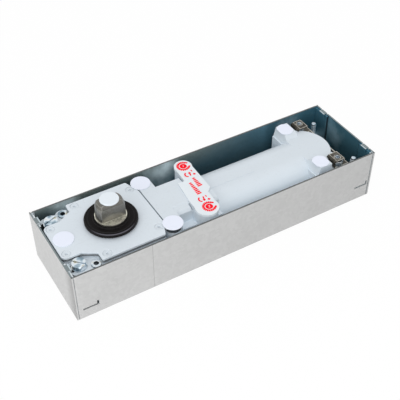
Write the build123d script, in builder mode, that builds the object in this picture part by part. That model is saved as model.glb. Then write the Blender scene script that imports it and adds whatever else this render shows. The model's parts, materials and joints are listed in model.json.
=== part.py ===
from build123d import *
import math
import os

# Floor spring in its cement box, cover plate off. Millimetres, +Z up.
# Origin: centre of the box's underside. The spindle end points to -X, the spring tube to +X.

# Cement box of folded sheet
box_length = 285.0
box_width = 82.0
box_height = 48.0
sheet = 1.25
seam_gap = 0.2
end_flange_width = 18.5
bend_radius = 1.6
floor_bend_radius = 1.1
tab_width = 7.0
tab_offset = 29.5
tab_reach = 4.0
tab_hook = 3.2
tab_relief = 1.1
tab_relief_depth = 2.6
lance_length = 12.6
lance_rise = 4.6
lance_width = 1.7
lance_height_spindle_end = 9.8
lance_height_tube_end = 14.3
lance_from_spindle_end = 5.6
lance_from_tube_end = 17.0

# Clearances
flat_gap = 0.3
running_gap = 0.05
thread_gap = 0.05
cam_gap = 0.3
floor_clearance = 1.75
foot_gap = 0.2
label_gap = 0.1
join = 1.0
cut_over = 1.0

# Levels below the box's rim and the thickness of what lies there
cover_below_rim = 0.5
cover_thickness = 2.2
gasket_thickness = 0.6
gasket_inset = 0.8
rim_groove_drop = 1.4
rim_groove_height = 0.8
rim_groove_depth = 1.0
corner_flange_drop = 6.0
corner_flange_thickness = 4.0
tube_drop = 3.5
lug_drop = 9.0
lug_thickness = 4.0
pad_thickness = 0.65
pad_proud = 0.7

# Mechanism cover, measured from the box's spindle end and from the centre line
spindle_from_end = 52.4
cover_from_end = 2.4
cover_tab_half = 19.8
cover_tab_run = 14.9
cover_step_run = 26.0
cover_step_half = 26.4
side_room = 6.2
cover_end_past_spindle = 34.6
cover_tab_corner = 4.5
cover_end_corner = 1.5
cover_bevel_run = 5.0
cover_bevel_half = 21.0
cover_step_corner = 1.2
groove_width = 1.1
cover_screw_rows = [(4.9, 15.2), (31.9, 30.3), (78.9, 25.2)]
cover_screw_radius = 2.0
cover_screw_head_radius = 3.2
cover_screw_length = 12.0
cover_screw_socket = 2.5
cover_screw_socket_depth = 0.85
countersink_radius = 3.7
gasket_hole_radius = 2.8

# Fixing corners at the spindle end
flange_from_end = 4.0
flange_corner = 5.0
clamp_from_end = 12.1
clamp_offset = 26.5
clamp_screw_radius = 3.0
clamp_head_radius = 6.1
clamp_head_flats = 10.8
clamp_head_height = 3.2
clamp_head_chamfer = 0.7
clamp_slot_width = 1.2
clamp_slot_depth = 1.6
clamp_slot_turn = (-45, 20)
clamp_shank_length = 22.0
clamp_slot_half = 3.6
clamp_slot_travel = 2.0
washer_radius = 6.3
washer_thickness = 1.0
post_radius = 5.2
post_bore_length = 22.0
height_from_end = 24.1
height_offset = 31.4
height_screw_radius = 4.0
height_screw_proud = 1.6
height_socket = 4.0
height_socket_depth = 4.5
height_boss_radius = 6.2
height_boss_length = 12.0

# Shoulder, neck and valve bosses, measured from the spindle axis
shoulder_end = 48.6
shoulder_half = 28.0
neck_pad_run = 40.1
neck_pad_offset = 27.5
neck_pad_radius = 8.3
neck_boss_radius = 6.9
neck_boss_chamfer = 1.1
neck_end = 87.0
neck_flat_half = 11.2
neck_step = 0.4
neck_strip_half = 17.6
neck_half = 19.8
neck_slope_drop = 2.6
neck_ledge_half = 27.0
neck_ledge_drop = 12.5
neck_slots = [(71.6, 14.1), (62.2, -18.6)]
neck_slot_width = 1.3
neck_slot_length = 9.8
neck_slot_depth = 4.0
closing_valve_run = 80.6
closing_valve_offset = 27.2
closing_boss_radius = 7.2
latching_valve_run = 73.8
latching_valve_offset = -26.7
latching_boss_run = 72.1
latching_boss_offset = -26.0
latching_boss_radius = 9.3
valve_boss_drop = 1.2
valve_radius = 3.0
valve_head_radius = 4.4
valve_head_height = 3.4
valve_head_sink = 0.4
valve_length = 22.0
valve_tip_room = 1.0
oil_way_rise = 2.0
valve_slot_width = 1.0
valve_slot_depth = 1.4
valve_seal_drop = 12.0
valve_seal_wire = 0.6
oil_way_radius = 1.5

# Label cap over the valves
label_thickness = 1.2
label_skirt_wall = 1.0
label_skirt_depth = 1.0
label_overhang = 0.6
label_edge = [
    (73.0, 27.2),
    (72.3, 10.3),
    (66.2, 10.3),
    (63.4, -12.8),
    (63.0, -26.0),
    (81.4, -26.0),
    (82.5, -11.0),
    (86.8, -7.1),
    (87.6, 27.2),
]
label_peg_radius = 1.5
label_peg_length = 4.0
label_peg_gap = 0.15
label_peg_offset = 6.0
label_peg_run = 12.0
label_peg_room = 1.0

# Spring tube, rounded end and ears, measured from the box's tube end
tube_half = 24.4
tube_top_corner = 18.0
tube_bottom_corner = 12.0
tube_start = 83.6
tube_bore_radius = 16.5
bore_start_run = 20.0
panel_length = 45.0
panel_half = 6.2
panel_height = 0.3
panel_offset_y = 1.7
dome_from_end = 48.6
dome_radius = 26.0
ear_from_end = 47.4
ear_offset = 26.1
ear_pad_radius = 7.4
ear_pad_flat = 6.5
ear_half_length = 7.0
ear_half = 33.3
ear_lean = 2.3
ear_ledge = 0.9
ear_inner_half = 19.5
ear_slope_half = 15.5
ear_deck_half = 8.0
ear_block_height = 22.0
lug_from_end = 23.0
lug_inner_half = 12.0
lug_half = 32.6

# Spindle, cam, roller and piston
spindle_radius = 12.8
spindle_ledge_height = 54.3
head_height = 15.5
head_foot_flats = 13.2
head_top_flats = 12.3
head_crown_flats = 9.4
head_flats_drop = 3.0
head_foot_radius = 12.1
head_shoulder_radius = 11.7
head_shoulder_drop = 5.0
head_rim_run = 1.4
head_rim_drop = 0.8
head_top_radius = 8.8
spindle_hole_radius = 3.4
spindle_hole_depth = 14.0
spindle_cap_radius = 7.7
spindle_cap_height = 1.3
spindle_cap_round = 0.65
spindle_cap_stem = 8.0
lower_journal_radius = 8.0
chamber_radius = 26.5
chamber_wall = 8.0
bush_wall = 4.0
bush_floor = 2.0
cam_seat_radius = 10.0
cam_thickness = 12.0
key_side = 3.0
key_length = 10.0
roller_radius = 7.0
roller_rest = 19.0
piston_travel = 13.0
swing_degrees = 130.0
cam_lead_out = 25.0
fork_thickness = 3.4
fork_side_play = 1.8
fork_start = 15.0
fork_gap = 0.3
piston_face = 27.4
piston_end = 59.6
nose_gap = 0.5
nose_length = 8.0
pin_radius = 3.0
piston_seal_run = 50.0
piston_seal_width = 3.0
piston_seal_depth = 2.0
check_bore_radius = 3.3
check_way_radius = 1.8
check_ball_radius = 2.9
check_ball_run = 52.0
check_clip_thickness = 1.2

# Upper bearing, its hub under the cover, and the shaft seal
race_height = 8.0
race_top_drop = 5.6
inner_race_radius = 15.0
shaft_shoulder_drop = 1.0
outer_race_inner = 18.8
outer_race_radius = 21.5
hub_radius = 26.2
hub_below_race = 0.3
ball_count = 14
ball_radius = 2.0
groove_radius = 2.2
seal_hole_radius = 19.5
seal_flange_radius = 21.4
seal_flange_height = 1.2
seal_bevel = 0.8
seal_lip_radius = 14.6
seal_lip_height = 4.0
seal_depth = 4.6
seal_line_radius = 18.8
seal_line_depth = 0.35
seal_line_width = 0.6

# Closing spring and the plug behind it
spring_wire = 4.6
spring_side_gap = 1.6
spring_seat_hole = 6.3
spring_turns = 12
spring_end_gap = 0.3
spring_seat_thickness = 3.0
plug_step = 0.5
plug_length = 12.0
plug_from_end = 42.0
plug_socket = 12.0
plug_socket_depth = 6.0
plug_seal_wire = 1.6

# Rear bracket, its studs and the rear height screws
bracket_sheet = 1.0
bracket_gap = 0.5
clip_from_end = 36.5
clip_length = 10.6
clip_inner_half = 20.9
clip_outer_half = 32.3
clip_height = 8.0
clip_corner = 2.6
bracket_half = 33.0
bracket_foot_level = 6.0
bracket_foot_length = 16.0
rear_screw_from_end = 30.4
rear_screw_offset = 27.7
rear_screw_radius = 2.5
rear_screw_proud = 0.5
rear_socket = 2.5
rear_socket_depth = 3.0
lock_nut_flats = 10.0
lock_nut_height = 4.8
stud_from_end = 12.3
stud_offset = 28.9
stud_radius = 2.5
stud_top_drop = 8.8
stud_slot_play = 1.9
stud_slot_side = 0.5
stud_foot_radius = 4.5
stud_nut_flats = 8.0
stud_nut_height = 3.6

plate_pad_from_end = 11.8
plate_pad_radius = 8.2
plate_pad_thickness = 0.6

# Places and levels worked out from the sizes above
end_x = box_length / 2
half_width = box_width / 2
cover_half = half_width - side_room
spindle_x = -end_x + spindle_from_end
cover_top = box_height - cover_below_rim
cover_bottom = cover_top - cover_thickness
body_top = cover_bottom - gasket_thickness
groove_top = body_top - rim_groove_drop
groove_bottom = groove_top - rim_groove_height
flange_top = cover_top - corner_flange_drop
flange_bottom = flange_top - corner_flange_thickness
tube_top = cover_top - tube_drop
housing_bottom = sheet + floor_clearance
tube_height = tube_top - housing_bottom
tube_axis_z = housing_bottom + tube_height / 2
lug_top = cover_top - lug_drop
pad_top = cover_top + pad_proud
pad_bottom = pad_top - pad_thickness
dome_x = end_x - dome_from_end
ear_x = end_x - ear_from_end
lug_end_x = end_x - lug_from_end
chamber_floor = housing_bottom + chamber_wall
cam_bottom = tube_axis_z - cam_thickness / 2
cam_top = tube_axis_z + cam_thickness / 2
race_top = cover_top - race_top_drop
race_bottom = race_top - race_height
shoulder_start_x = spindle_x + cover_end_past_spindle + groove_width
neck_end_x = spindle_x + neck_end
slope_level = cover_top - neck_slope_drop
ledge_level = cover_top - neck_ledge_drop
valve_boss_top = cover_top - valve_boss_drop
closing_valve = (spindle_x + closing_valve_run, closing_valve_offset)
latching_valve = (spindle_x + latching_valve_run, latching_valve_offset)
valve_bosses = [
    (closing_valve[0], closing_valve[1], closing_boss_radius),
    (spindle_x + latching_boss_run, latching_boss_offset, latching_boss_radius),
]
plug_face_x = end_x - plug_from_end
spring_seat_x = plug_face_x - spring_seat_thickness - flat_gap
spring_mean_radius = tube_bore_radius - spring_wire / 2 - spring_side_gap
nose_radius = spring_mean_radius - spring_wire / 2 - nose_gap
plug_radius = tube_bore_radius + plug_step
clip_x = end_x - clip_from_end
bracket_web_x = dome_x + dome_radius + bracket_gap
stud_x = end_x - stud_from_end
rear_screw_x = end_x - rear_screw_from_end
clip_bottom = lug_top
clip_top = clip_bottom + clip_height
head_top_z = spindle_ledge_height + head_height
roller_x = spindle_x + roller_rest

UP = (Align.CENTER, Align.CENTER, Align.MIN)
DOWN = (Align.CENTER, Align.CENTER, Align.MAX)
ALONG = (0, 90, 0)


def save(piece, name):
    piece.part.label = name
    export_step(piece.part, "parts/" + name + ".step")


def both_sides(x, y, z=0.0):
    return [(x, -y, z), (x, y, z)]


def cover_outline(height, margin=0.0):
    """Notched outline of the mechanism cover, grown or shrunk by a margin."""
    left = -end_x + cover_from_end
    right = spindle_x + cover_end_past_spindle
    half = [
        (left, cover_tab_half),
        (left + cover_tab_run, cover_tab_half),
        (left + cover_step_run, cover_step_half),
        (left + cover_step_run, cover_half),
        (right - cover_bevel_run, cover_half),
        (right, cover_bevel_half),
    ]
    mirrored = [(x, -y) for x, y in reversed(half)]
    with BuildSketch(Plane.XY.offset(height)) as outline:
        with BuildLine():
            Polyline(*half, *mirrored, close=True)
        make_face()
        corners = outline.vertices().group_by(Axis.X)
        fillet(corners[0], cover_tab_corner)
        bevel = outline.vertices().filter_by(lambda v: abs(v.X - right + cover_bevel_run) < 0.01)
        fillet(bevel, cover_end_corner)
        step = outline.vertices().filter_by(
            lambda v: abs(v.X - left - cover_step_run) < 0.01 and abs(abs(v.Y) - cover_half) < 0.01
        )
        fillet(step, cover_step_corner)
        if margin:
            offset(amount=margin, kind=Kind.INTERSECTION)
    return outline.sketch


def pad_positions():
    return both_sides(spindle_x + neck_pad_run, neck_pad_offset)


def cover_screw_positions():
    left = -end_x + cover_from_end
    return [place for run, side in cover_screw_rows for place in both_sides(left + run, side)]


def tube_profile(x):
    """Section of the spring tube: flat top, well rounded sides."""
    with BuildSketch(Plane.YZ.offset(x)) as profile:
        with Locations((0, tube_axis_z)):
            Rectangle(2 * tube_half, tube_height)
        fillet(profile.vertices().group_by(Axis.Z)[-1], tube_top_corner)
        fillet(profile.vertices().group_by(Axis.Z)[0], tube_bottom_corner)
    return profile.sketch


os.makedirs("parts", exist_ok=True)

# Cement box: floor, end walls and long walls of one sheet. The long walls' end flanges stand
# inside the end walls, whose tabs fold over them.
wall_run = box_length - 2 * (sheet + seam_gap)
with BuildPart() as cement_box:
    Box(box_length, box_width, sheet, align=UP)
    with Locations((-end_x + sheet / 2, 0, 0), (end_x - sheet / 2, 0, 0)):
        Box(sheet, box_width, box_height, align=UP)
    with Locations(*both_sides(0, half_width - sheet / 2)):
        Box(wall_run, sheet, box_height, align=UP)
    flange_height = box_height - sheet - seam_gap
    flange_x = wall_run / 2 - sheet / 2
    flange_y = half_width - end_flange_width / 2
    for side in (-1, 1):
        with Locations(*both_sides(side * flange_x, flange_y)):
            Box(sheet, end_flange_width, flange_height, align=UP)
    upright = cement_box.edges().filter_by(Axis.Z)
    at_wall_end = upright.filter_by(lambda e: abs(abs(e.center().X) - wall_run / 2) < 0.01)
    fillet(at_wall_end.filter_by(lambda e: abs(abs(e.center().Y) - half_width) < 0.01), bend_radius)
    for side in (-1, 1):
        for y in (-tab_offset, tab_offset):
            with Locations((side * (end_x - tab_reach / 2), y, box_height - sheet / 2)):
                Box(tab_reach, tab_width, sheet)
            with Locations((side * (end_x - tab_reach + sheet / 2), y, box_height - tab_hook / 2)):
                Box(sheet, tab_width, tab_hook)
            for edge in (-1, 1):
                relief_y = y + edge * (tab_width + tab_relief) / 2
                with Locations((side * (end_x - sheet / 2), relief_y, box_height)):
                    Box(sheet, tab_relief, tab_relief_depth * 2, mode=Mode.SUBTRACT)
    floor_bends = cement_box.edges().filter_by(Axis.X).filter_by(lambda e: e.length > box_length / 2)
    floor_bends = floor_bends.filter_by(lambda e: e.center().Z < 0.01)
    fillet(floor_bends.filter_by(lambda e: abs(abs(e.center().Y) - half_width) < 0.01), floor_bend_radius)
    lances = [
        (-end_x + lance_from_spindle_end, lance_height_spindle_end),
        (end_x - lance_from_tube_end, lance_height_tube_end),
    ]
    for start, level in lances:
        for side in (-1, 1):
            run = (start + lance_length / 2, side * half_width, level)
            rise = (start + lance_length, side * half_width, level + (lance_rise - lance_width) / 2)
            with Locations(run):
                Box(lance_length, 4 * sheet, lance_width, mode=Mode.SUBTRACT)
            with Locations(rise):
                Box(lance_width, 4 * sheet, lance_rise, mode=Mode.SUBTRACT)
save(cement_box, "cement_box")

# Posts on the box's floor that the clamp screws are driven into
with BuildPart() as clamp_posts:
    post_height = flange_bottom - flat_gap - sheet
    with Locations(*both_sides(-end_x + clamp_from_end, clamp_offset, sheet)):
        Cylinder(post_radius, post_height, align=UP)
    with Locations(*both_sides(-end_x + clamp_from_end, clamp_offset, sheet + post_height)):
        Cylinder(clamp_screw_radius + thread_gap, post_bore_length, align=DOWN, mode=Mode.SUBTRACT)
save(clamp_posts, "clamp_posts")

with BuildPart() as clamp_washers:
    with Locations(*both_sides(-end_x + clamp_from_end, clamp_offset, flange_top)):
        Cylinder(washer_radius, washer_thickness, align=UP)
        Cylinder(clamp_screw_radius + thread_gap, washer_thickness, align=UP, mode=Mode.SUBTRACT)
save(clamp_washers, "clamp_washers")

head_bottom = flange_top + washer_thickness
front_turn, back_turn = clamp_slot_turn
for side, turn, name in ((-1, front_turn, "clamp_screw_front"), (1, back_turn, "clamp_screw_back")):
    with BuildPart() as clamp_screw:
        with Locations((-end_x + clamp_from_end, side * clamp_offset, head_bottom)):
            Cylinder(clamp_head_radius, clamp_head_height, align=UP)
        chamfer(clamp_screw.edges().filter_by(GeomType.CIRCLE).sort_by(Axis.Z)[-1], clamp_head_chamfer)
        with BuildSketch(Plane.XY.offset(head_bottom)):
            with Locations((-end_x + clamp_from_end, side * clamp_offset)):
                RegularPolygon(clamp_head_flats / 2, 6, major_radius=False, rotation=turn)
        extrude(amount=clamp_head_height, mode=Mode.INTERSECT)
        with Locations((-end_x + clamp_from_end, side * clamp_offset, head_bottom)):
            Cylinder(clamp_screw_radius, clamp_shank_length, align=DOWN)
        with Locations((-end_x + clamp_from_end, side * clamp_offset, head_bottom + clamp_head_height)):
            Box(
                2 * (clamp_head_radius + cut_over),
                clamp_slot_width,
                2 * clamp_slot_depth,
                rotation=(0, 0, turn),
                mode=Mode.SUBTRACT,
            )
    save(clamp_screw, name)

# Bosses under the neck pads
with BuildPart() as neck_bosses:
    with Locations(*both_sides(spindle_x + neck_pad_run, neck_pad_offset, housing_bottom)):
        Cylinder(neck_boss_radius, pad_bottom - housing_bottom, align=UP)
    chamfer(neck_bosses.edges().group_by(Axis.Z)[-1], neck_boss_chamfer)

# Ears: leaning at the front, sloping down to the tube's flat top
with BuildPart() as ears:
    ear_foot = lug_top - ear_block_height
    with BuildSketch(Plane.XZ):
        with BuildLine():
            Polyline(
                (ear_x - ear_half_length - ear_ledge, ear_foot),
                (ear_x - ear_half_length - ear_ledge, lug_top),
                (ear_x - ear_half_length, lug_top),
                (ear_x - ear_half_length + ear_lean, pad_bottom),
                (ear_x + ear_half_length, pad_bottom),
                (ear_x + ear_half_length, ear_foot),
                close=True,
            )
        make_face()
    extrude(amount=ear_half, both=True)
    with BuildSketch(Plane.YZ.offset(ear_x - 2 * ear_half_length)):
        for side in (-1, 1):
            with BuildLine():
                Polyline(
                    (side * ear_deck_half, ear_foot),
                    (side * ear_deck_half, tube_top),
                    (side * ear_slope_half, tube_top),
                    (side * ear_inner_half, pad_bottom),
                    (side * ear_half, pad_bottom),
                    (side * ear_half, ear_foot),
                    close=True,
                )
            make_face()
    extrude(amount=4 * ear_half_length, mode=Mode.INTERSECT)

# Housing: mechanism chamber, fixing corners, neck with valve bosses, spring tube and ears
with BuildPart() as housing:
    extrude(cover_outline(housing_bottom), amount=groove_bottom - housing_bottom)
    extrude(cover_outline(groove_bottom, -rim_groove_depth), amount=rim_groove_height)
    extrude(cover_outline(groove_top), amount=body_top - groove_top)

    # Fixing corners with the clamp slots, open at the end, and the height screws' bosses
    flange_left = -end_x + flange_from_end
    flange_right = -end_x + cover_from_end + cover_step_run + cover_end_corner
    with BuildSketch(Plane.XY.offset(flange_bottom)) as corners:
        with Locations(((flange_left + flange_right) / 2, 0)):
            Rectangle(flange_right - flange_left, 2 * cover_half)
        fillet(corners.vertices().group_by(Axis.X)[0], flange_corner)
        with Locations(*both_sides(-end_x + height_from_end, height_offset)):
            Circle(height_boss_radius)
    extrude(amount=corner_flange_thickness)
    with Locations(*both_sides(-end_x + height_from_end, height_offset, flange_bottom)):
        Cylinder(height_boss_radius, height_boss_length, align=DOWN)
    slot_end = -end_x + clamp_from_end + clamp_slot_travel
    slot_length = slot_end - flange_left + clamp_slot_half
    with Locations(*both_sides(slot_end - slot_length / 2, clamp_offset, flange_top)):
        Box(slot_length, 2 * clamp_slot_half, 3 * corner_flange_thickness, mode=Mode.SUBTRACT)
    with Locations(*both_sides(slot_end, clamp_offset, flange_top)):
        Cylinder(clamp_slot_half, 3 * corner_flange_thickness, mode=Mode.SUBTRACT)

    # Shoulder beside the cover, with the two pad bosses
    shoulder_start = spindle_x + chamber_radius
    shoulder_run = spindle_x + shoulder_end - shoulder_start
    with Locations((shoulder_start + shoulder_run / 2, 0, housing_bottom)):
        Box(shoulder_run, 2 * shoulder_half, body_top - housing_bottom, align=UP)
    raised_run = spindle_x + shoulder_end - shoulder_start_x
    with Locations((shoulder_start_x + raised_run / 2, 0, body_top)):
        Box(raised_run, 2 * shoulder_half, cover_top - body_top, align=UP)
    add(neck_bosses.part)

    # Neck under the label cap: flat top, sloping shoulders, ledge below
    neck_start = spindle_x + shoulder_end - join
    with BuildSketch(Plane.YZ.offset(neck_start)) as neck:
        with BuildLine():
            Polyline(
                (-neck_ledge_half, housing_bottom),
                (-neck_ledge_half, ledge_level),
                (-neck_half, ledge_level),
                (-neck_half, slope_level),
                (-neck_strip_half, cover_top - neck_step),
                (-neck_flat_half - neck_step, cover_top - neck_step),
                (-neck_flat_half, cover_top),
                (neck_flat_half, cover_top),
                (neck_flat_half + neck_step, cover_top - neck_step),
                (neck_strip_half, cover_top - neck_step),
                (neck_half, slope_level),
                (neck_half, ledge_level),
                (neck_ledge_half, ledge_level),
                (neck_ledge_half, housing_bottom),
                close=True,
            )
        make_face()
    extrude(amount=neck_end_x - neck_start)

    # Valve bosses, each joined to the neck's side by a web
    boss_height = valve_boss_top - housing_bottom
    for x, y, radius in valve_bosses:
        web = abs(y) - neck_half + join
        with Locations((x, y, housing_bottom)):
            Cylinder(radius, boss_height, align=UP)
        with Locations((x, math.copysign(neck_half - join + web / 2, y), housing_bottom)):
            Box(2 * radius, web, boss_height, align=UP)

    # Spring tube with its raised bare panel, and the rounded end
    tube_start_x = spindle_x + tube_start
    extrude(tube_profile(tube_start_x), amount=dome_x - tube_start_x)
    with Locations((neck_end_x + panel_length / 2, panel_offset_y, tube_top)):
        Box(panel_length, 2 * panel_half, panel_height, align=UP)
    with BuildSketch(Plane.XY.offset(housing_bottom)):
        with Locations((dome_x, 0)):
            Circle(dome_radius)
            Rectangle(dome_radius, 2 * dome_radius, align=(Align.MAX, Align.CENTER), mode=Mode.SUBTRACT)
    extrude(amount=tube_height)

    # Ears that carry the rear pads, and the lugs behind them
    add(ears.part)
    lug_run = lug_end_x - ear_x
    with Locations(*both_sides(ear_x + lug_run / 2, (lug_half + lug_inner_half) / 2, lug_top)):
        Box(lug_run, lug_half - lug_inner_half, lug_thickness, align=DOWN)

    for run, side in neck_slots:
        with Locations((spindle_x + run, side, cover_top)):
            Box(neck_slot_width, neck_slot_length, 2 * neck_slot_depth, mode=Mode.SUBTRACT)

    # Chamber, spring bore and the plug's seat
    with Locations((spindle_x, 0, chamber_floor)):
        Cylinder(chamber_radius, box_height, align=UP, mode=Mode.SUBTRACT)
    with Locations((spindle_x, 0, housing_bottom + bush_floor)):
        Cylinder(lower_journal_radius + bush_wall, chamber_wall, align=UP, mode=Mode.SUBTRACT)
    with Locations((spindle_x + bore_start_run, 0, tube_axis_z)):
        Cylinder(tube_bore_radius, box_length, rotation=ALONG, align=UP, mode=Mode.SUBTRACT)
    with Locations((plug_face_x, 0, tube_axis_z)):
        Cylinder(plug_radius, box_length, rotation=ALONG, align=UP, mode=Mode.SUBTRACT)

    # Holes for the cover screws, height screws, rear screws, valves and the label cap's pegs
    with Locations(*[(x, y, body_top) for x, y, _ in cover_screw_positions()]):
        Cylinder(cover_screw_radius + thread_gap, cover_screw_length, align=DOWN, mode=Mode.SUBTRACT)
    with Locations(*both_sides(-end_x + height_from_end, height_offset, flange_top)):
        Cylinder(height_screw_radius + thread_gap, box_height, align=DOWN, mode=Mode.SUBTRACT)
    with Locations(*both_sides(rear_screw_x, rear_screw_offset, lug_top)):
        Cylinder(rear_screw_radius + thread_gap, box_height, align=DOWN, mode=Mode.SUBTRACT)
    for x, y in (closing_valve, latching_valve):
        head_depth = valve_head_height + valve_head_sink
        valve_bore_length = valve_length + valve_tip_room
        with Locations((x, y, valve_boss_top)):
            Cylinder(valve_head_radius + flat_gap, head_depth, align=DOWN, mode=Mode.SUBTRACT)
            Cylinder(valve_radius + running_gap, valve_bore_length, align=DOWN, mode=Mode.SUBTRACT)
        way_z = valve_boss_top - valve_length + oil_way_rise
        with BuildSketch(Plane.XZ.offset(-y)):
            with Locations((x, way_z)):
                Circle(oil_way_radius)
        extrude(amount=y, mode=Mode.SUBTRACT)
    with Locations(*both_sides(neck_end_x - label_peg_run, label_peg_offset, cover_top)):
        peg_hole = label_peg_length + label_peg_room
        Cylinder(label_peg_radius + label_peg_gap, peg_hole, align=DOWN, mode=Mode.SUBTRACT)
save(housing, "housing")

# Cover over the mechanism, with the bearing hub under it
with BuildPart() as cover_plate:
    extrude(cover_outline(cover_bottom), amount=cover_thickness)
    with Locations((spindle_x, 0, cover_bottom)):
        Cylinder(hub_radius, cover_bottom - race_bottom + hub_below_race, align=DOWN)
    with Locations((spindle_x, 0, race_top)):
        Cylinder(outer_race_radius + running_gap, box_height, align=DOWN, mode=Mode.SUBTRACT)
    with Locations((spindle_x, 0, 0)):
        Cylinder(seal_hole_radius, 2 * box_height, mode=Mode.SUBTRACT)
    with Locations(*[(x, y, cover_top) for x, y, _ in cover_screw_positions()]):
        CounterSinkHole(cover_screw_radius + thread_gap, countersink_radius, depth=cover_thickness)
save(cover_plate, "cover_plate")

with BuildPart() as cover_gasket:
    extrude(cover_outline(body_top, -gasket_inset), amount=gasket_thickness)
    with Locations((spindle_x, 0, body_top)):
        Cylinder(chamber_radius, 4 * gasket_thickness, mode=Mode.SUBTRACT)
    with Locations(*[(x, y, body_top) for x, y, _ in cover_screw_positions()]):
        Cylinder(gasket_hole_radius, 4 * gasket_thickness, mode=Mode.SUBTRACT)
save(cover_gasket, "cover_gasket")

screw_head_height = cover_screw_head_radius - cover_screw_radius
screw_head_top = cover_top - (countersink_radius - cover_screw_head_radius) - running_gap
with BuildPart() as cover_screws:
    with Locations(*[(x, y, screw_head_top) for x, y, _ in cover_screw_positions()]):
        Cone(cover_screw_radius, cover_screw_head_radius, screw_head_height, align=DOWN)
        Cylinder(cover_screw_radius, cover_screw_length, align=DOWN)
    for x, y, _ in cover_screw_positions():
        with BuildSketch(Plane.XY.offset(screw_head_top)):
            with Locations((x, y)):
                RegularPolygon(cover_screw_socket / 2, 6, major_radius=False)
        extrude(amount=-cover_screw_socket_depth, mode=Mode.SUBTRACT)
save(cover_screws, "cover_screws")

# Spindle: tapered head on a round collar, journals and the cam's seat
with BuildPart() as spindle:
    with BuildSketch(Plane.XY.offset(spindle_ledge_height)):
        with Locations((spindle_x, 0)):
            Rectangle(2 * head_foot_radius, head_foot_flats)
    with BuildSketch(Plane.XY.offset(head_top_z - head_flats_drop)):
        with Locations((spindle_x, 0)):
            Rectangle(2 * head_foot_radius, head_top_flats)
    loft()
    with BuildSketch(Plane.XY.offset(head_top_z - head_flats_drop)):
        with Locations((spindle_x, 0)):
            Rectangle(2 * head_foot_radius, head_top_flats)
    with BuildSketch(Plane.XY.offset(head_top_z)):
        with Locations((spindle_x, 0)):
            Rectangle(2 * head_foot_radius, head_crown_flats)
    loft()
    with BuildSketch(Plane.XZ):
        with BuildLine():
            Polyline(
                (spindle_x, spindle_ledge_height),
                (spindle_x + head_foot_radius, spindle_ledge_height),
                (spindle_x + head_shoulder_radius, head_top_z - head_shoulder_drop),
                (spindle_x + head_top_radius + head_rim_run, head_top_z - head_rim_drop),
                (spindle_x + head_top_radius, head_top_z),
                (spindle_x, head_top_z),
                close=True,
            )
        make_face()
    revolve(axis=Axis((spindle_x, 0, 0), (0, 0, 1)), mode=Mode.INTERSECT)
    shoulder_radius = inner_race_radius - shaft_shoulder_drop
    shaft_steps = [
        (lower_journal_radius, housing_bottom + bush_floor + flat_gap, chamber_floor + flat_gap),
        (cam_seat_radius, chamber_floor + flat_gap, cam_top + flat_gap),
        (shoulder_radius, cam_top + flat_gap, race_bottom),
        (spindle_radius, race_bottom, spindle_ledge_height),
    ]
    for radius, low, high in shaft_steps:
        with Locations((spindle_x, 0, low)):
            Cylinder(radius, high - low, align=UP)
    with Locations((spindle_x, 0, head_top_z)):
        Cylinder(spindle_hole_radius, spindle_hole_depth, align=DOWN, mode=Mode.SUBTRACT)
    with Locations((spindle_x - cam_seat_radius, 0, tube_axis_z)):
        Box(key_side, key_side, key_length, mode=Mode.SUBTRACT)
save(spindle, "spindle")

with BuildPart() as spindle_cap:
    with Locations((spindle_x, 0, head_top_z)):
        Cylinder(spindle_cap_radius, spindle_cap_height, align=UP)
    fillet(spindle_cap.edges().filter_by(GeomType.CIRCLE).sort_by(Axis.Z)[-1], spindle_cap_round)
    with Locations((spindle_x, 0, head_top_z)):
        Cylinder(spindle_hole_radius - running_gap, spindle_cap_stem, align=DOWN)
save(spindle_cap, "spindle_cap")

with BuildPart() as cam_key:
    with Locations((spindle_x - cam_seat_radius, 0, tube_axis_z)):
        Box(key_side, key_side, key_length)
save(cam_key, "cam_key")

# Heart cam: its flanks keep the roller's centre on a curve whose radius grows evenly with the
# angle, so the piston moves in step with the spindle.
rise = piston_travel / math.radians(swing_degrees)
follow_radius = roller_radius + cam_gap


def flank_point(angle):
    radius = roller_rest + rise * angle
    along_x = rise * math.cos(angle) - radius * math.sin(angle)
    along_y = rise * math.sin(angle) + radius * math.cos(angle)
    size = math.hypot(along_x, along_y)
    x = radius * math.cos(angle) - follow_radius * along_y / size
    y = radius * math.sin(angle) + follow_radius * along_x / size
    return (x, y)


flank_steps = 16
flank_reach = math.radians(swing_degrees + cam_lead_out)
flank = [flank_point(flank_reach * step / flank_steps) for step in range(flank_steps + 1)]
mirror_flank = [(x, -y) for x, y in flank]
with BuildPart() as cam:
    with BuildSketch(Plane((spindle_x, 0, cam_bottom), x_dir=(1, 0, 0), z_dir=(0, 0, 1))):
        with BuildLine():
            Spline(*flank)
            Line(flank[-1], mirror_flank[-1])
            Spline(*reversed(mirror_flank))
            ThreePointArc(mirror_flank[0], (roller_rest - follow_radius, 0), flank[0])
        make_face()
        Circle(roller_rest + piston_travel - follow_radius, mode=Mode.INTERSECT)
        Circle(cam_seat_radius + thread_gap, mode=Mode.SUBTRACT)
    extrude(amount=cam_thickness)
    with Locations((spindle_x - cam_seat_radius, 0, tube_axis_z)):
        Box(key_side, key_side, key_length, mode=Mode.SUBTRACT)
save(cam, "cam")

with BuildPart() as cam_roller:
    with Locations((roller_x, 0, cam_bottom + fork_gap)):
        Cylinder(roller_radius, cam_thickness - 2 * fork_gap, align=UP)
        Cylinder(pin_radius + running_gap, cam_thickness, align=UP, mode=Mode.SUBTRACT)
save(cam_roller, "cam_roller")

fork_inner = cam_thickness / 2 + fork_gap
fork_outer = fork_inner + fork_thickness
with BuildPart() as roller_pin:
    with Locations((roller_x, 0, tube_axis_z)):
        Cylinder(pin_radius, 2 * fork_outer)
save(roller_pin, "roller_pin")

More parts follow.
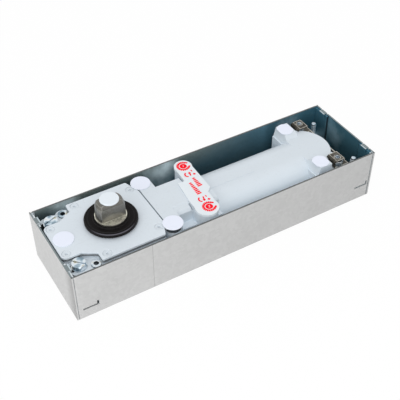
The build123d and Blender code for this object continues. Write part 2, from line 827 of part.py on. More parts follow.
# Piston with the roller's fork, the check valve and the nose that guides the spring
piston_radius = tube_bore_radius - running_gap
fork_half = math.sqrt(piston_radius**2 - fork_outer**2) - fork_side_play
with BuildPart() as piston:
    with Locations((spindle_x + piston_face, 0, tube_axis_z)):
        Cylinder(piston_radius, piston_end - piston_face, rotation=ALONG, align=UP)
    with Locations((spindle_x + piston_end, 0, tube_axis_z)):
        Cylinder(nose_radius, nose_length, rotation=ALONG, align=UP)
    fork_length = piston_face - fork_start + join
    for level in (-1, 1):
        middle = tube_axis_z + level * (fork_inner + fork_outer) / 2
        with Locations((spindle_x + fork_start + fork_length / 2, 0, middle)):
            Box(fork_length, 2 * fork_half, fork_thickness)
    with Locations((roller_x, 0, tube_axis_z)):
        Cylinder(pin_radius + running_gap, 3 * fork_outer, mode=Mode.SUBTRACT)
    with Locations((spindle_x + piston_seal_run, 0, tube_axis_z)):
        Cylinder(piston_radius, piston_seal_width, rotation=ALONG, mode=Mode.SUBTRACT)
        Cylinder(piston_radius - piston_seal_depth, piston_seal_width, rotation=ALONG)
    with Locations((spindle_x + piston_face, 0, tube_axis_z)):
        Cylinder(check_way_radius, box_length, rotation=ALONG, align=UP, mode=Mode.SUBTRACT)
    with Locations((spindle_x + check_ball_run - check_ball_radius - flat_gap, 0, tube_axis_z)):
        Cylinder(check_bore_radius, box_length, rotation=ALONG, align=UP, mode=Mode.SUBTRACT)
save(piston, "piston")

with BuildPart() as piston_seal:
    with Locations((spindle_x + piston_seal_run, 0, tube_axis_z)):
        Cylinder(piston_radius, piston_seal_width - 2 * running_gap, rotation=ALONG)
        Cylinder(
            piston_radius - piston_seal_depth + running_gap,
            piston_seal_width,
            rotation=ALONG,
            mode=Mode.SUBTRACT,
        )
save(piston_seal, "piston_seal")

with BuildPart() as check_ball:
    with Locations((spindle_x + check_ball_run, 0, tube_axis_z)):
        Sphere(check_ball_radius)
save(check_ball, "check_ball")

with BuildPart() as check_ball_clip:
    with Locations((spindle_x + check_ball_run + check_ball_radius + flat_gap, 0, tube_axis_z)):
        Cylinder(check_bore_radius - running_gap, check_clip_thickness, rotation=ALONG, align=UP)
        Cylinder(check_way_radius, 2 * check_clip_thickness, rotation=ALONG, align=UP, mode=Mode.SUBTRACT)
save(check_ball_clip, "check_ball_clip")

# Bearings and the shaft seal
with BuildPart() as lower_bearing_bush:
    bush_bottom = housing_bottom + bush_floor
    with Locations((spindle_x, 0, bush_bottom)):
        Cylinder(lower_journal_radius + bush_wall, chamber_floor - bush_bottom, align=UP)
        Cylinder(lower_journal_radius + running_gap, chamber_wall, align=UP, mode=Mode.SUBTRACT)
save(lower_bearing_bush, "lower_bearing_bush")

ball_circle = (inner_race_radius + outer_race_inner) / 2
race_middle = race_bottom + race_height / 2
with BuildPart() as inner_race:
    with Locations((spindle_x, 0, race_bottom)):
        Cylinder(inner_race_radius, race_height, align=UP)
        Cylinder(spindle_radius + thread_gap, race_height, align=UP, mode=Mode.SUBTRACT)
    with Locations((spindle_x, 0, race_middle)):
        Torus(ball_circle, groove_radius, mode=Mode.SUBTRACT)
save(inner_race, "inner_race")

with BuildPart() as outer_race:
    with Locations((spindle_x, 0, race_bottom)):
        Cylinder(outer_race_radius, race_height - running_gap, align=UP)
        Cylinder(outer_race_inner, race_height, align=UP, mode=Mode.SUBTRACT)
    with Locations((spindle_x, 0, race_middle)):
        Torus(ball_circle, groove_radius, mode=Mode.SUBTRACT)
save(outer_race, "outer_race")

with BuildPart() as bearing_balls:
    with Locations((spindle_x, 0, race_middle)):
        with PolarLocations(ball_circle, ball_count):
            Sphere(ball_radius)
save(bearing_balls, "bearing_balls")

seal_top = cover_top + seal_flange_height
with BuildPart() as shaft_seal:
    with Locations((spindle_x, 0, cover_top)):
        Cylinder(seal_flange_radius, seal_flange_height, align=UP)
    chamfer(shaft_seal.edges().group_by(Axis.Z)[-1], seal_bevel)
    with Locations((spindle_x, 0, cover_top)):
        Cylinder(seal_lip_radius, seal_lip_height, align=UP)
        Cylinder(seal_hole_radius - running_gap, seal_depth, align=DOWN)
    with Locations((spindle_x, 0, cover_top - seal_depth)):
        Cylinder(spindle_radius + running_gap, box_height, align=UP, mode=Mode.SUBTRACT)
    with BuildSketch(Plane.XY.offset(seal_top)):
        with Locations((spindle_x, 0)):
            Circle(seal_line_radius)
            Circle(seal_line_radius - seal_line_width, mode=Mode.SUBTRACT)
    extrude(amount=-seal_line_depth, mode=Mode.SUBTRACT)
save(shaft_seal, "shaft_seal")

# Closing spring, its seat, and the plug that shuts the tube
spring_start_x = spindle_x + piston_end + spring_end_gap + spring_wire / 2
spring_run = spring_seat_x - spring_end_gap - spring_wire / 2 - spring_start_x
with BuildPart() as closing_spring:
    with BuildLine() as coil:
        Helix(
            pitch=spring_run / spring_turns,
            height=spring_run,
            radius=spring_mean_radius,
            center=(spring_start_x, 0, tube_axis_z),
            direction=(1, 0, 0),
        )
    with BuildSketch(Plane(origin=coil.line @ 0, z_dir=coil.line % 0)):
        Circle(spring_wire / 2)
    sweep(path=coil.line, is_frenet=True)
save(closing_spring, "closing_spring")

with BuildPart() as spring_seat:
    with Locations((spring_seat_x, 0, tube_axis_z)):
        Cylinder(tube_bore_radius - running_gap, spring_seat_thickness, rotation=ALONG, align=UP)
        Cylinder(spring_seat_hole, box_length, rotation=ALONG, mode=Mode.SUBTRACT)
save(spring_seat, "spring_seat")

with BuildPart() as end_plug:
    with Locations((plug_face_x, 0, tube_axis_z)):
        Cylinder(plug_radius - thread_gap, plug_length, rotation=ALONG, align=UP)
    with BuildSketch(Plane.YZ.offset(plug_face_x + plug_length)):
        with Locations((0, tube_axis_z)):
            RegularPolygon(plug_socket / 2, 6, major_radius=False)
    extrude(amount=-plug_socket_depth, mode=Mode.SUBTRACT)
    with Locations((plug_face_x + plug_length / 2, 0, tube_axis_z)):
        groove = plug_seal_wire / 2 + running_gap
        Torus(plug_radius - plug_seal_wire / 2, groove, rotation=ALONG, mode=Mode.SUBTRACT)
save(end_plug, "end_plug")

with BuildPart() as end_plug_ring:
    with Locations((plug_face_x + plug_length / 2, 0, tube_axis_z)):
        Torus(plug_radius - plug_seal_wire / 2 - thread_gap, plug_seal_wire / 2, rotation=ALONG)
save(end_plug_ring, "end_plug_ring")

# Valve screws under the label cap, each with a sealing ring
valve_head_top = valve_boss_top - valve_head_sink
valve_seal_z = valve_boss_top - valve_seal_drop
for (x, y), name in ((closing_valve, "closing_valve"), (latching_valve, "latching_valve")):
    with BuildPart() as valve_screw:
        with Locations((x, y, valve_head_top)):
            Cylinder(valve_head_radius, valve_head_height, align=DOWN)
            Cylinder(valve_radius, valve_length - valve_head_sink, align=DOWN)
            Box(3 * valve_head_radius, valve_slot_width, 2 * valve_slot_depth, mode=Mode.SUBTRACT)
        with Locations((x, y, valve_seal_z)):
            Torus(valve_radius - valve_seal_wire, valve_seal_wire + running_gap, mode=Mode.SUBTRACT)
    save(valve_screw, name)

with BuildPart() as valve_rings:
    with Locations(*[(x, y, valve_seal_z) for x, y in (closing_valve, latching_valve)]):
        Torus(valve_radius - valve_seal_wire, valve_seal_wire)
save(valve_rings, "valve_rings")

# Label cap: a plate across the neck with a skirted lobe over each valve, held by two pegs
label_bottom = cover_top + label_gap
skirt_height = label_skirt_depth + label_gap
with BuildPart() as label_cap:
    with BuildSketch(Plane.XY.offset(label_bottom)):
        with BuildLine():
            Polyline(*[(spindle_x + run, side) for run, side in label_edge], close=True)
        make_face()
        for x, y, radius in valve_bosses:
            with Locations((x, y)):
                Circle(radius + label_overhang)
    extrude(amount=label_thickness)
    with BuildSketch(Plane.XY.offset(label_bottom)):
        for x, y, radius in valve_bosses:
            with Locations((x, y)):
                Circle(radius + label_overhang)
        for x, y, radius in valve_bosses:
            with Locations((x, y)):
                Circle(radius + label_overhang - label_skirt_wall, mode=Mode.SUBTRACT)
        Rectangle(box_length, 2 * (neck_half + flat_gap), mode=Mode.SUBTRACT)
    extrude(amount=-skirt_height)
    with Locations(*both_sides(neck_end_x - label_peg_run, label_peg_offset, label_bottom)):
        Cylinder(label_peg_radius, label_peg_length, align=DOWN)
save(label_cap, "label_cap")

# Bare pads on the machined spots
with BuildPart() as plate_pad:
    with Locations((-end_x + plate_pad_from_end, 0, cover_top)):
        Cylinder(plate_pad_radius, plate_pad_thickness, align=UP)
save(plate_pad, "plate_pad")

with BuildPart() as neck_pads:
    with Locations(*pad_positions()):
        with Locations((0, 0, pad_bottom)):
            Cylinder(neck_pad_radius, pad_thickness, align=UP)
save(neck_pads, "neck_pads")

with BuildPart() as ear_pads:
    with BuildSketch(Plane.XY.offset(pad_bottom)):
        with Locations(*both_sides(ear_x, ear_offset)):
            Circle(ear_pad_radius)
        with Locations((ear_x, 0)):
            Rectangle(2 * ear_pad_flat, 4 * ear_offset, mode=Mode.INTERSECT)
    extrude(amount=pad_thickness)
save(ear_pads, "ear_pads")

# Height screws: the closer stands on them inside the box
screw_foot = sheet + foot_gap
for side, name in ((-1, "height_screw_front"), (1, "height_screw_back")):
    with BuildPart() as height_screw:
        top = flange_top + height_screw_proud
        with Locations((-end_x + height_from_end, side * height_offset, screw_foot)):
            Cylinder(height_screw_radius, top - screw_foot, align=UP)
        with BuildSketch(Plane.XY.offset(top)):
            with Locations((-end_x + height_from_end, side * height_offset)):
                RegularPolygon(height_socket / 2, 6, major_radius=False)
        extrude(amount=-height_socket_depth, mode=Mode.SUBTRACT)
    save(height_screw, name)

for side, name in ((-1, "rear_screw_front"), (1, "rear_screw_back")):
    with BuildPart() as rear_screw:
        top = clip_top + rear_screw_proud
        with Locations((rear_screw_x, side * rear_screw_offset, screw_foot)):
            Cylinder(rear_screw_radius, top - screw_foot, align=UP)
        with BuildSketch(Plane.XY.offset(top)):
            with Locations((rear_screw_x, side * rear_screw_offset)):
                RegularPolygon(rear_socket / 2, 6, major_radius=False)
        extrude(amount=-rear_socket_depth, mode=Mode.SUBTRACT)
    save(rear_screw, name)

# Rear bracket: one strip on edge behind the rounded end, a clip on each lug, a slotted foot
with BuildPart() as rear_bracket:
    clip_end_x = bracket_web_x + bracket_sheet
    with BuildSketch(Plane.XZ) as clip_side:
        with Locations(((clip_x + clip_end_x) / 2, clip_bottom + bracket_sheet / 2)):
            Rectangle(clip_end_x - clip_x, bracket_sheet)
        with Locations((clip_x + clip_length / 2, clip_top - bracket_sheet / 2)):
            Rectangle(clip_length, bracket_sheet)
        with Locations((clip_x + bracket_sheet / 2, (clip_bottom + clip_top) / 2)):
            Rectangle(bracket_sheet, clip_height)
        bend = clip_side.vertices().filter_by(lambda v: abs(v.X - clip_x) < 0.01)
        fillet(bend, clip_corner)
    extrude(amount=clip_outer_half, both=True)
    Box(box_length, 2 * clip_inner_half, 4 * box_height, mode=Mode.SUBTRACT)
    with Locations((dome_x, 0, tube_top + flat_gap)):
        Cylinder(dome_radius + flat_gap, box_height, align=DOWN, mode=Mode.SUBTRACT)
    web_height = lug_top + bracket_sheet - bracket_foot_level
    with Locations((bracket_web_x + bracket_sheet / 2, 0, bracket_foot_level)):
        Box(bracket_sheet, 2 * bracket_half, web_height, align=UP)
    with Locations((bracket_web_x + bracket_foot_length / 2, 0, bracket_foot_level)):
        Box(bracket_foot_length, 2 * bracket_half, bracket_sheet, align=UP)
    with Locations(*both_sides(rear_screw_x, rear_screw_offset)):
        Cylinder(rear_screw_radius + running_gap, 4 * box_height, mode=Mode.SUBTRACT)
    with Locations(*both_sides(stud_x, stud_offset, bracket_foot_level)):
        Box(2 * stud_slot_play, 2 * (stud_radius + stud_slot_side), 4 * bracket_sheet, mode=Mode.SUBTRACT)
    for play in (-stud_slot_play, stud_slot_play):
        with Locations(*both_sides(stud_x + play, stud_offset, bracket_foot_level)):
            Cylinder(stud_radius + stud_slot_side, 4 * bracket_sheet, mode=Mode.SUBTRACT)
save(rear_bracket, "rear_bracket")


def nut_profile(x, y, z, flats, bore):
    """Hexagon with a hole at a place, ready to extrude."""
    with BuildSketch(Plane.XY.offset(z)) as profile:
        with Locations((x, y)):
            RegularPolygon(flats / 2, 6, major_radius=False, rotation=30)
            Circle(bore, mode=Mode.SUBTRACT)
    return profile.sketch


with BuildPart() as lock_nuts:
    nut_z = clip_bottom + bracket_sheet
    for y in (-rear_screw_offset, rear_screw_offset):
        profile = nut_profile(rear_screw_x, y, nut_z, lock_nut_flats, rear_screw_radius + thread_gap)
        extrude(profile, amount=lock_nut_height)
save(lock_nuts, "lock_nuts")

with BuildPart() as bracket_studs:
    with Locations(*both_sides(stud_x, stud_offset, sheet)):
        Cylinder(stud_radius, box_height - stud_top_drop - sheet, align=UP)
        Cylinder(stud_foot_radius, bracket_foot_level - flat_gap - sheet, align=UP)
save(bracket_studs, "bracket_studs")

with BuildPart() as stud_nuts:
    nut_z = bracket_foot_level + bracket_sheet
    for y in (-stud_offset, stud_offset):
        profile = nut_profile(stud_x, y, nut_z, stud_nut_flats, stud_radius + thread_gap)
        extrude(profile, amount=stud_nut_height)
save(stud_nuts, "stud_nuts")
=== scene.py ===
import json
import math

import bmesh
import bpy
from mathutils import Matrix, Vector

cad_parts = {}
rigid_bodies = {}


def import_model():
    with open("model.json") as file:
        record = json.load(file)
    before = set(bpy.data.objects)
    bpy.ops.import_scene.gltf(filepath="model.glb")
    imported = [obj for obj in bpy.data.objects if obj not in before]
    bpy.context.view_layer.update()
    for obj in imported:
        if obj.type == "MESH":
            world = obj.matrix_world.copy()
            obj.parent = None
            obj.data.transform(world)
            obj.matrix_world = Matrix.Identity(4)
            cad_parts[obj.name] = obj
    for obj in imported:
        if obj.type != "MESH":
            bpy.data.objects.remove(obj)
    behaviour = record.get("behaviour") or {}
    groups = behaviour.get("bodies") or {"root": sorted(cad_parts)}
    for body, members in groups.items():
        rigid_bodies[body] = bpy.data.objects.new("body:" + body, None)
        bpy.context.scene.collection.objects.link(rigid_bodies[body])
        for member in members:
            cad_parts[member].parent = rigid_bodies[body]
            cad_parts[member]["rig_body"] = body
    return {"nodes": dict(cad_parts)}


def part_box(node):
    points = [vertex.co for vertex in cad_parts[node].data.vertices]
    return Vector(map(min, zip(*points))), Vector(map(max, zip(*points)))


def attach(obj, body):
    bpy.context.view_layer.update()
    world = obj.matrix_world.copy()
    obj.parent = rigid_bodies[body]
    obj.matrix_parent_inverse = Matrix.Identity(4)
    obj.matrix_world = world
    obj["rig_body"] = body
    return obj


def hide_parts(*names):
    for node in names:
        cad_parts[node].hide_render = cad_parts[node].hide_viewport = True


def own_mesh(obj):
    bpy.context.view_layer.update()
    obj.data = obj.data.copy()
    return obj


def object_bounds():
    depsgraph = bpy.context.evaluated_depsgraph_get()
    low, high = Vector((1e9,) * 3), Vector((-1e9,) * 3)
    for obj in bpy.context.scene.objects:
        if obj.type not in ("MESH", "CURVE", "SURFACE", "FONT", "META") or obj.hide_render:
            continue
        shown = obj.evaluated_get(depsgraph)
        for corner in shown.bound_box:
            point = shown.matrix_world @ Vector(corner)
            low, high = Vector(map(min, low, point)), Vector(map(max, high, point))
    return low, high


bl_info = {
    "name": "Floor Spring Finishes",
    "version": (1, 0, 0),
    "blender": (4, 5, 0),
    "location": "View3D > Sidebar > Floor Spring",
    "description": "Finishes and fine parts for a floor spring in its sheet steel box",
    "category": "Object",
}

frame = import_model()
cad_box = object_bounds()

MM = 0.001
MERGE = 0.002 * MM
SOFT_EDGE = 0.25 * MM
SMOOTH_ANGLE = math.radians(32)

WHITE = (1.0, 1.0, 1.0)
# Painted shade: near-black laid on paint and on metal in slots, sockets, gaps and crevices
PAINT_SHADE = (0.03, 0.035, 0.04)
METAL_SHADE = (0.04, 0.045, 0.05)
# Old oil's colour: for stains, and for painted shade on the spindle's foot
OIL_STAIN_AND_SHADE = (0.12, 0.11, 0.095)
# Painted reflections on zinc: ramp stops for streaks of dark blue, blue, white and brown that the plating would mirror
ZINC_PAINTED_REFLECTIONS = ((0.34, (0.16, 0.24, 0.30)), (0.43, (0.40, 0.52, 0.60)), (0.49, (0.70, 0.78, 0.84)),
              (0.60, (0.82, 0.87, 0.91)), (0.70, (0.56, 0.53, 0.38)))

# The box's sheet: depth of its inner faces, width of the folded tabs' strip, and slack for being on a face
SKIN = 0.7 * MM
TAB = 3 * MM
ON_FACE = 0.05 * MM

# One turn of a stud's thread: how deep each point lies, as a share of the depth, and where in the turn
THREAD = ((1, 0.0), (1, 0.16), (0, 0.46), (0, 0.58), (1, 0.88), (1, 1.0))
TURN_STEPS = 24

# Places in millimetres from the middle of the box: light on the inner walls, and the cover screws of one side
REFLECTIONS = ((-25, 41, 38), (-19, 42, 42), (110, 47, 40), (149, 12, 34), (147, 31, 18), (-112, 46, 42))
SCREW_PLACES = ((-135.2, 15.2, 0), (-108.2, 30.3, 0), (-61.2, 25.2, 0))

# The label's print: dials, then each arrow's arc, tail, tip, minus and plus, then each scale's x, first y and count.
# The ring of ticks is open over an angle on both sides of +X.
DIALS = ((-9.3, 27.2, "1"), (-16.3, -26.7, "2"))
ARROWS = (
    ((-11.1, 15.8), (-9.8, 13.4), (-8.9, 18.5), (-6.3, 18.7), (-6.2, 13.9)),
    ((-16.9, -16.4), (-14.5, -14.0), (-16.1, -19.5), (-12.2, -14.7), (-11.9, -19.1)),
)
SCALES = ((-9.7, 9.3, 6), (-15.2, 5.2, 8))
SCALE_PITCH = 2.05
TICK_LENGTH = 2.2
TICK_WIDTH = 1.35
RING_OPENING = 28


def box_centre(node):
    """Middle of a CAD node's box, in metres."""
    low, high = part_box(node)
    return (low + high) / 2


# Settings


def a_number(name, description, default, low, high, **unit):
    return bpy.props.FloatProperty(name=name, description=description, default=default, min=low, max=high, **unit)


def a_length(name, description, default, low, high):
    """A length, with its default and limits given in millimetres."""
    return a_number(name, description, default * MM, low * MM, high * MM, unit="LENGTH")


def a_colour(name, description, default):
    return bpy.props.FloatVectorProperty(name=name, description=description, default=default, min=0.0, max=1.0,
                                         subtype="COLOR", size=3)


class BoxSettings(bpy.types.PropertyGroup):
    outside: a_colour("Outside", "Zinc colour of the outer faces", (0.585, 0.587, 0.585))
    # The inside colour is painted shade and reflection: the same zinc as outside, made dark and bluish as it mirrors
    # the box's dark inside
    inside: a_colour("Inside", "Zinc colour of the inner faces", (0.10, 0.20, 0.25))
    cut_edge: a_colour("Cut edge", "Colour of the sheet's bare cut edge", (0.115, 0.12, 0.12))
    edge_round: a_length("Edge rounding", "Radius on the sheet's cut edges", 0.25, 0, 0.6)
    spangle: a_length("Spangle size", "Width of one zinc crystal", 2.6, 0.5, 20)


class CastingSettings(bpy.types.PropertyGroup):
    paint: a_colour("Paint", "Colour of the painted casting", (0.64, 0.70, 0.752))
    cover_paint: a_colour("Cover paint", "Colour of the painted cover plate", (0.66, 0.722, 0.777))
    roughness: a_number("Roughness", "Gloss of the paint, lower is shinier", 0.42, 0.05, 1.0)
    edge_round: a_length("Edge rounding", "Radius on the casting's edges", 0.5, 0, 2)
    cover_round: a_length("Cover rounding", "Radius on the cover plate's edges", 0.3, 0, 1)
    peel: a_length("Orange peel", "Height of the ripple in the paint", 0.02, 0, 0.2)


class LabelSettings(bpy.types.PropertyGroup):
    cap: a_colour("Cap", "Colour of the moulded cap", (0.735, 0.79, 0.83))
    ink: a_colour("Ink", "Colour of the printed marks", (0.93, 0.0, 0.015))
    edge_round: a_length("Edge rounding", "Radius on the cap's edges", 0.15, 0, 0.5)
    ink_height: a_length("Ink height", "Thickness of the print", 0.04, 0.01, 0.2)
    disc_radius: a_length("Disc radius", "Radius of the solid disc in each dial", 3.1, 1, 4)
    ring_radius: a_length("Ring radius", "Outer radius of each dial's ring of ticks", 5.9, 3, 7)
    ticks: bpy.props.IntProperty(name="Ticks", description="Number of ticks in a full ring", default=20, min=8, max=90)


class PadSettings(bpy.types.PropertyGroup):
    plastic: a_colour("Pads", "Colour of the bearing pads", (0.78, 0.82, 0.93))
    edge_round: a_length("Edge rounding", "Radius on the rim of a pad", 0.2, 0, 0.3)


class SpindleSettings(bpy.types.PropertyGroup):
    steel: a_colour("Steel", "Colour of the turned steel", (0.30, 0.292, 0.272))
    top_cap: a_colour("Top cap", "Colour of the cap on the spindle", (0.74, 0.80, 0.85))
    seal: a_colour("Seal", "Colour of the shaft seal", (0.006, 0.005, 0.005))
    edge_round: a_length("Edge rounding", "Radius on the spindle's edges", 0.35, 0, 1)
    ledge_drop: a_length("Ledge drop", "Distance of the collar's ledge below the spindle's top", 15.5, 0, 40)
    ring_pitch: a_length("Turning pitch", "Distance between the tool's rings", 0.35, 0.05, 2)
    seal_gap: a_length("Seal gap", "Height of the seal's rim above the cover plate", 1.6, 0, 4)
    seal_lift: a_length("Seal lift", "Rise of the seal's top face", 3.2, 0, 5)
    seal_lip_lift: a_length("Seal lip lift", "Rise of the lip that lies on the spindle", 1.2, 0, 5)


class FastenerSettings(bpy.types.PropertyGroup):
    zinc: a_colour("Zinc", "Colour of the plated screws", (0.60, 0.66, 0.72))
    edge_round: a_length("Edge rounding", "Radius on screw heads and nuts", 0.2, 0, 0.6)
    stud_radius: a_length("Stud radius", "Radius over the crests of a stud's thread", 2.5, 1, 5)
    stud_pitch: a_length("Stud pitch", "Rise of one turn of a stud's thread", 1.25, 0.4, 2)
    thread_depth: a_length("Thread depth", "Depth of a stud's thread", 0.55, 0.1, 1)
    stud_foot: a_length("Stud foot", "Height of the round foot under a stud", 4.45, 1, 10)


class BracketSettings(bpy.types.PropertyGroup):
    steel: a_colour("Strip", "Colour of the dark strip", (0.045, 0.042, 0.034))
    edge_round: a_length("Edge rounding", "Radius on the strip's edges", 0.35, 0, 0.4)
    # The bright border on the clips' tops is a painted highlight with rubbed wear
    border: a_length("Rubbed border", "Width of the bright border on the clips' tops", 0.5, 0.1, 2)


class StageSettings(bpy.types.PropertyGroup):
    azimuth: a_number("Azimuth", "Camera's turn round the box", math.radians(-30.84), -math.pi, math.pi,
                      subtype="ANGLE")
    elevation: a_number("Elevation", "Camera's height as an angle", math.radians(42.3), 0.0, math.pi / 2,
                        subtype="ANGLE")
    distance: a_length("Distance", "Camera's distance from the middle of the box", 673.04, 100, 5000)
    aim_right: a_length("Aim right", "Box's middle to the right of the picture's", 7.71, -200, 200)
    aim_up: a_length("Aim up", "Box's middle above the picture's", -2.33, -200, 200)
    lens: a_number("Lens", "Focal length in millimetres on a 36 mm sensor", 71.41, 20.0, 200.0)
    ambient: a_number("Ambient", "Strength of the even light all round", 0.80, 0.0, 3.0)
    key: a_number("Key light", "Power of the large lamp above the front wall", 9.0, 0.0, 100.0, subtype="POWER")
    fill: a_number("Fill light", "Power of the lamp at the spindle end", 8.0, 0.0, 100.0, subtype="POWER")
    floor: a_colour("Floor", "Colour of the floor", (0.93, 0.93, 0.93))


# Node trees


def fill(tree, socket, value):
    """Links a socket to what varies over a surface, or sets it to what doesn't."""
    if isinstance(value, bpy.types.NodeSocket):
        tree.links.new(value, socket)
    elif socket.type == "RGBA":
        socket.default_value = rgba(value)
    else:
        socket.default_value = value


def put(tree, kind, inputs=None, **settings):
    """Adds a node, sets its properties and fills its inputs."""
    node = tree.nodes.new("ShaderNode" + kind)
    for key, value in settings.items():
        setattr(node, key, value)
    for key, value in (inputs or {}).items():
        fill(tree, node.inputs[key], value)
    return node


def math_maker(operation):
    """Makes a function that adds Math nodes of one kind, one for each value after the first."""
    def add(tree, first, *others, clamp=False):
        for other in others or (0.0,):
            first = put(tree, "Math", {0: first, 1: other}, operation=operation, use_clamp=clamp).outputs[0]
        return first
    return add


plus, minus, times = (math_maker(name) for name in ("ADD", "SUBTRACT", "MULTIPLY"))
above, below, most, least = (math_maker(name) for name in ("GREATER_THAN", "LESS_THAN", "MAXIMUM", "MINIMUM"))
absolute, root, sine = (math_maker(name) for name in ("ABSOLUTE", "SQRT", "SINE"))


def mix_colour(tree, factor, first, second, blend="MIX"):
    """Mixes two colours. A Mix node's colours are its inputs 6 and 7 and its output 2."""
    inputs = {0: factor, 6: first, 7: second}
    return put(tree, "Mix", inputs, data_type="RGBA", blend_type=blend).outputs[2]


def tint(tree, base, colour, mask, amount=None):
    """Lays a colour over a base by a mask, or by a share of it."""
    return mix_colour(tree, mask if amount is None else times(tree, mask, amount), base, colour)


def ramp(tree, factor, stops):
    node = put(tree, "ValToRGB", {0: factor})
    elements = node.color_ramp.elements
    while len(elements) < len(stops):
        elements.new(0.5)
    for element, (place, value) in zip(elements, stops):
        element.position = place
        element.color = rgba(value)
    return node.outputs[0]


def contrast(tree, value, low, high):
    """Black up to a low value and white from a high one."""
    return ramp(tree, value, [(low, grey(0.0)), (high, grey(1.0))])


def grey(value):
    return (value, value, value, 1.0)


def rgba(colour):
    return (colour[0], colour[1], colour[2], 1.0)


def lighter(colour, share):
    return tuple(min(1.0, c * share) for c in colour[:3])


def place_of(tree):
    return put(tree, "TexCoord").outputs["Object"]


def coordinates(tree):
    """X, Y and Z of a place on the object."""
    return put(tree, "SeparateXYZ", {"Vector": place_of(tree)}).outputs


def noise(tree, place, scale, detail, roughness=0.5, distortion=0.0, output=0):
    inputs = {"Vector": place, "Scale": scale, "Detail": detail, "Roughness": roughness, "Distortion": distortion}
    return put(tree, "TexNoise", inputs).outputs[output]


def mapped(tree, place, **changes):
    """A place turned, stretched or moved."""
    return put(tree, "Mapping", {"Vector": place, **changes}).outputs[0]


def combine(tree, operation, first, second, output=0):
    """The result of one Vector Math node."""
    return put(tree, "VectorMath", {0: first, 1: second}, operation=operation).outputs[output]


def new_group(name, inputs, outputs):
    """Makes a shader node group and returns it with its input sockets and its output node."""
    tree = bpy.data.node_groups.new(name, "ShaderNodeTree")
    for label, kind, default in inputs:
        socket = tree.interface.new_socket(name=label, in_out="INPUT", socket_type="NodeSocket" + kind)
        socket.default_value = default
    for label, kind in outputs:
        tree.interface.new_socket(name=label, in_out="OUTPUT", socket_type="NodeSocket" + kind)
    return tree, tree.nodes.new("NodeGroupInput").outputs, tree.nodes.new("NodeGroupOutput")


def put_out(tree, result, values):
    for name, value in values.items():
        tree.links.new(value, result.inputs[name])
    return tree


def tone_group():
    """Slow drift of a colour with fine specks on it."""
    tree, given, result = new_group(
        "Drifting Tone",
        [("Color", "Color", grey(0.8)), ("Drift", "Float", 0.05), ("Drift Scale", "Float", 30.0),
         ("Specks", "Float", 0.1), ("Speck Scale", "Float", 900.0)],
        [("Color", "Color"), ("Drift Mask", "Float"), ("Speck Mask", "Float")],
    )
    place = place_of(tree)
    drift = contrast(tree, noise(tree, place, given["Drift Scale"], 5.0, 0.6), 0.34, 0.68)
    specks = contrast(tree, noise(tree, place, given["Speck Scale"], 2.0), 0.60, 0.72)
    darker = mix_colour(tree, 1.0, given["Color"], grey(0.80), "MULTIPLY")
    toned = tint(tree, given["Color"], darker, drift, given["Drift"])
    spotted = tint(tree, toned, grey(0.25), specks, given["Specks"])
    return put_out(tree, result, {"Color": spotted, "Drift Mask": drift, "Speck Mask": specks})


def scuff_group():
    """Fine scratches in several directions and soft smudges."""
    tree, given, result = new_group(
        "Handling Scuffs",
        [("Scratch Scale", "Float", 60.0), ("Smudge Scale", "Float", 40.0)],
        [("Scratches", "Float"), ("Smudges", "Float")],
    )
    place = place_of(tree)
    layers = []
    for turn, stretch in (((0.3, 0.1, 0.6), 22.0), ((0.2, 0.9, 1.9), 30.0), ((1.1, 0.3, 2.7), 26.0)):
        turned = mapped(tree, place, Rotation=turn, Scale=(1.0, stretch, 1.0))
        layers.append(contrast(tree, noise(tree, turned, given["Scratch Scale"], 2.0, 0.4), 0.69, 0.74))
    cloud = noise(tree, place, given["Smudge Scale"], 4.0, 0.55)
    return put_out(tree, result, {"Scratches": most(tree, *layers), "Smudges": contrast(tree, cloud, 0.40, 0.70)})


def spangle_group():
    """Zinc crystals: cells of slightly different brightness and gloss."""
    tree, given, result = new_group(
        "Zinc Spangle",
        [("Crystal Scale", "Float", 300.0), ("Contrast", "Float", 0.2)],
        [("Brightness", "Float"), ("Gloss", "Float")],
    )
    place = place_of(tree)
    shift = combine(tree, "MULTIPLY", noise(tree, place, 160.0, 2.0, output="Color"), (0.0022, 0.0022, 0.0022))
    moved = combine(tree, "ADD", place, shift)
    cells = put(tree, "TexVoronoi", {"Vector": moved, "Scale": given["Crystal Scale"]}).outputs["Color"]
    tone = put(tree, "SeparateColor", {"Color": cells}).outputs[0]
    spread = times(tree, minus(tree, tone, 0.5), given["Contrast"])
    return put_out(tree, result, {"Brightness": plus(tree, spread, 1.0), "Gloss": plus(tree, spread, 0.5)})


def turning_group():
    """Rings left by a lathe round the pattern's own Z axis."""
    tree, given, result = new_group(
        "Turning Rings",
        [("Vector", "Vector", (0.0, 0.0, 0.0)), ("Rings Per Metre", "Float", 3000.0)],
        [("Height", "Float"), ("Streak", "Float")],
    )
    x, y, z = put(tree, "SeparateXYZ", {"Vector": given["Vector"]}).outputs
    radius = root(tree, plus(tree, times(tree, x, x), times(tree, y, y)))
    across = plus(tree, radius, z)
    wave = sine(tree, times(tree, across, given["Rings Per Metre"], 2 * math.pi))
    line = put(tree, "CombineXYZ", {"X": across}).outputs[0]
    streak = noise(tree, line, given["Rings Per Metre"], 3.0)
    return put_out(tree, result, {"Height": plus(tree, times(tree, wave, 0.5), 0.5), "Streak": streak})


GROUP_MAKERS = {"tone": tone_group, "scuffs": scuff_group, "spangle": spangle_group, "turning": turning_group}
GROUPS = {}


def group_node(tree, name, **inputs):
    """Places a shared node group, made when it is first asked for, and returns its outputs."""
    if name not in GROUPS:
        GROUPS[name] = GROUP_MAKERS[name]()
    node = put(tree, "Group", node_tree=GROUPS[name])
    for key, value in inputs.items():
        fill(tree, node.inputs[key.replace("_", " ")], value)
    return node.outputs


# Masks


def band(tree, value, low, high):
    """One where a value lies between two limits."""
    return times(tree, above(tree, value, low), below(tree, value, high))


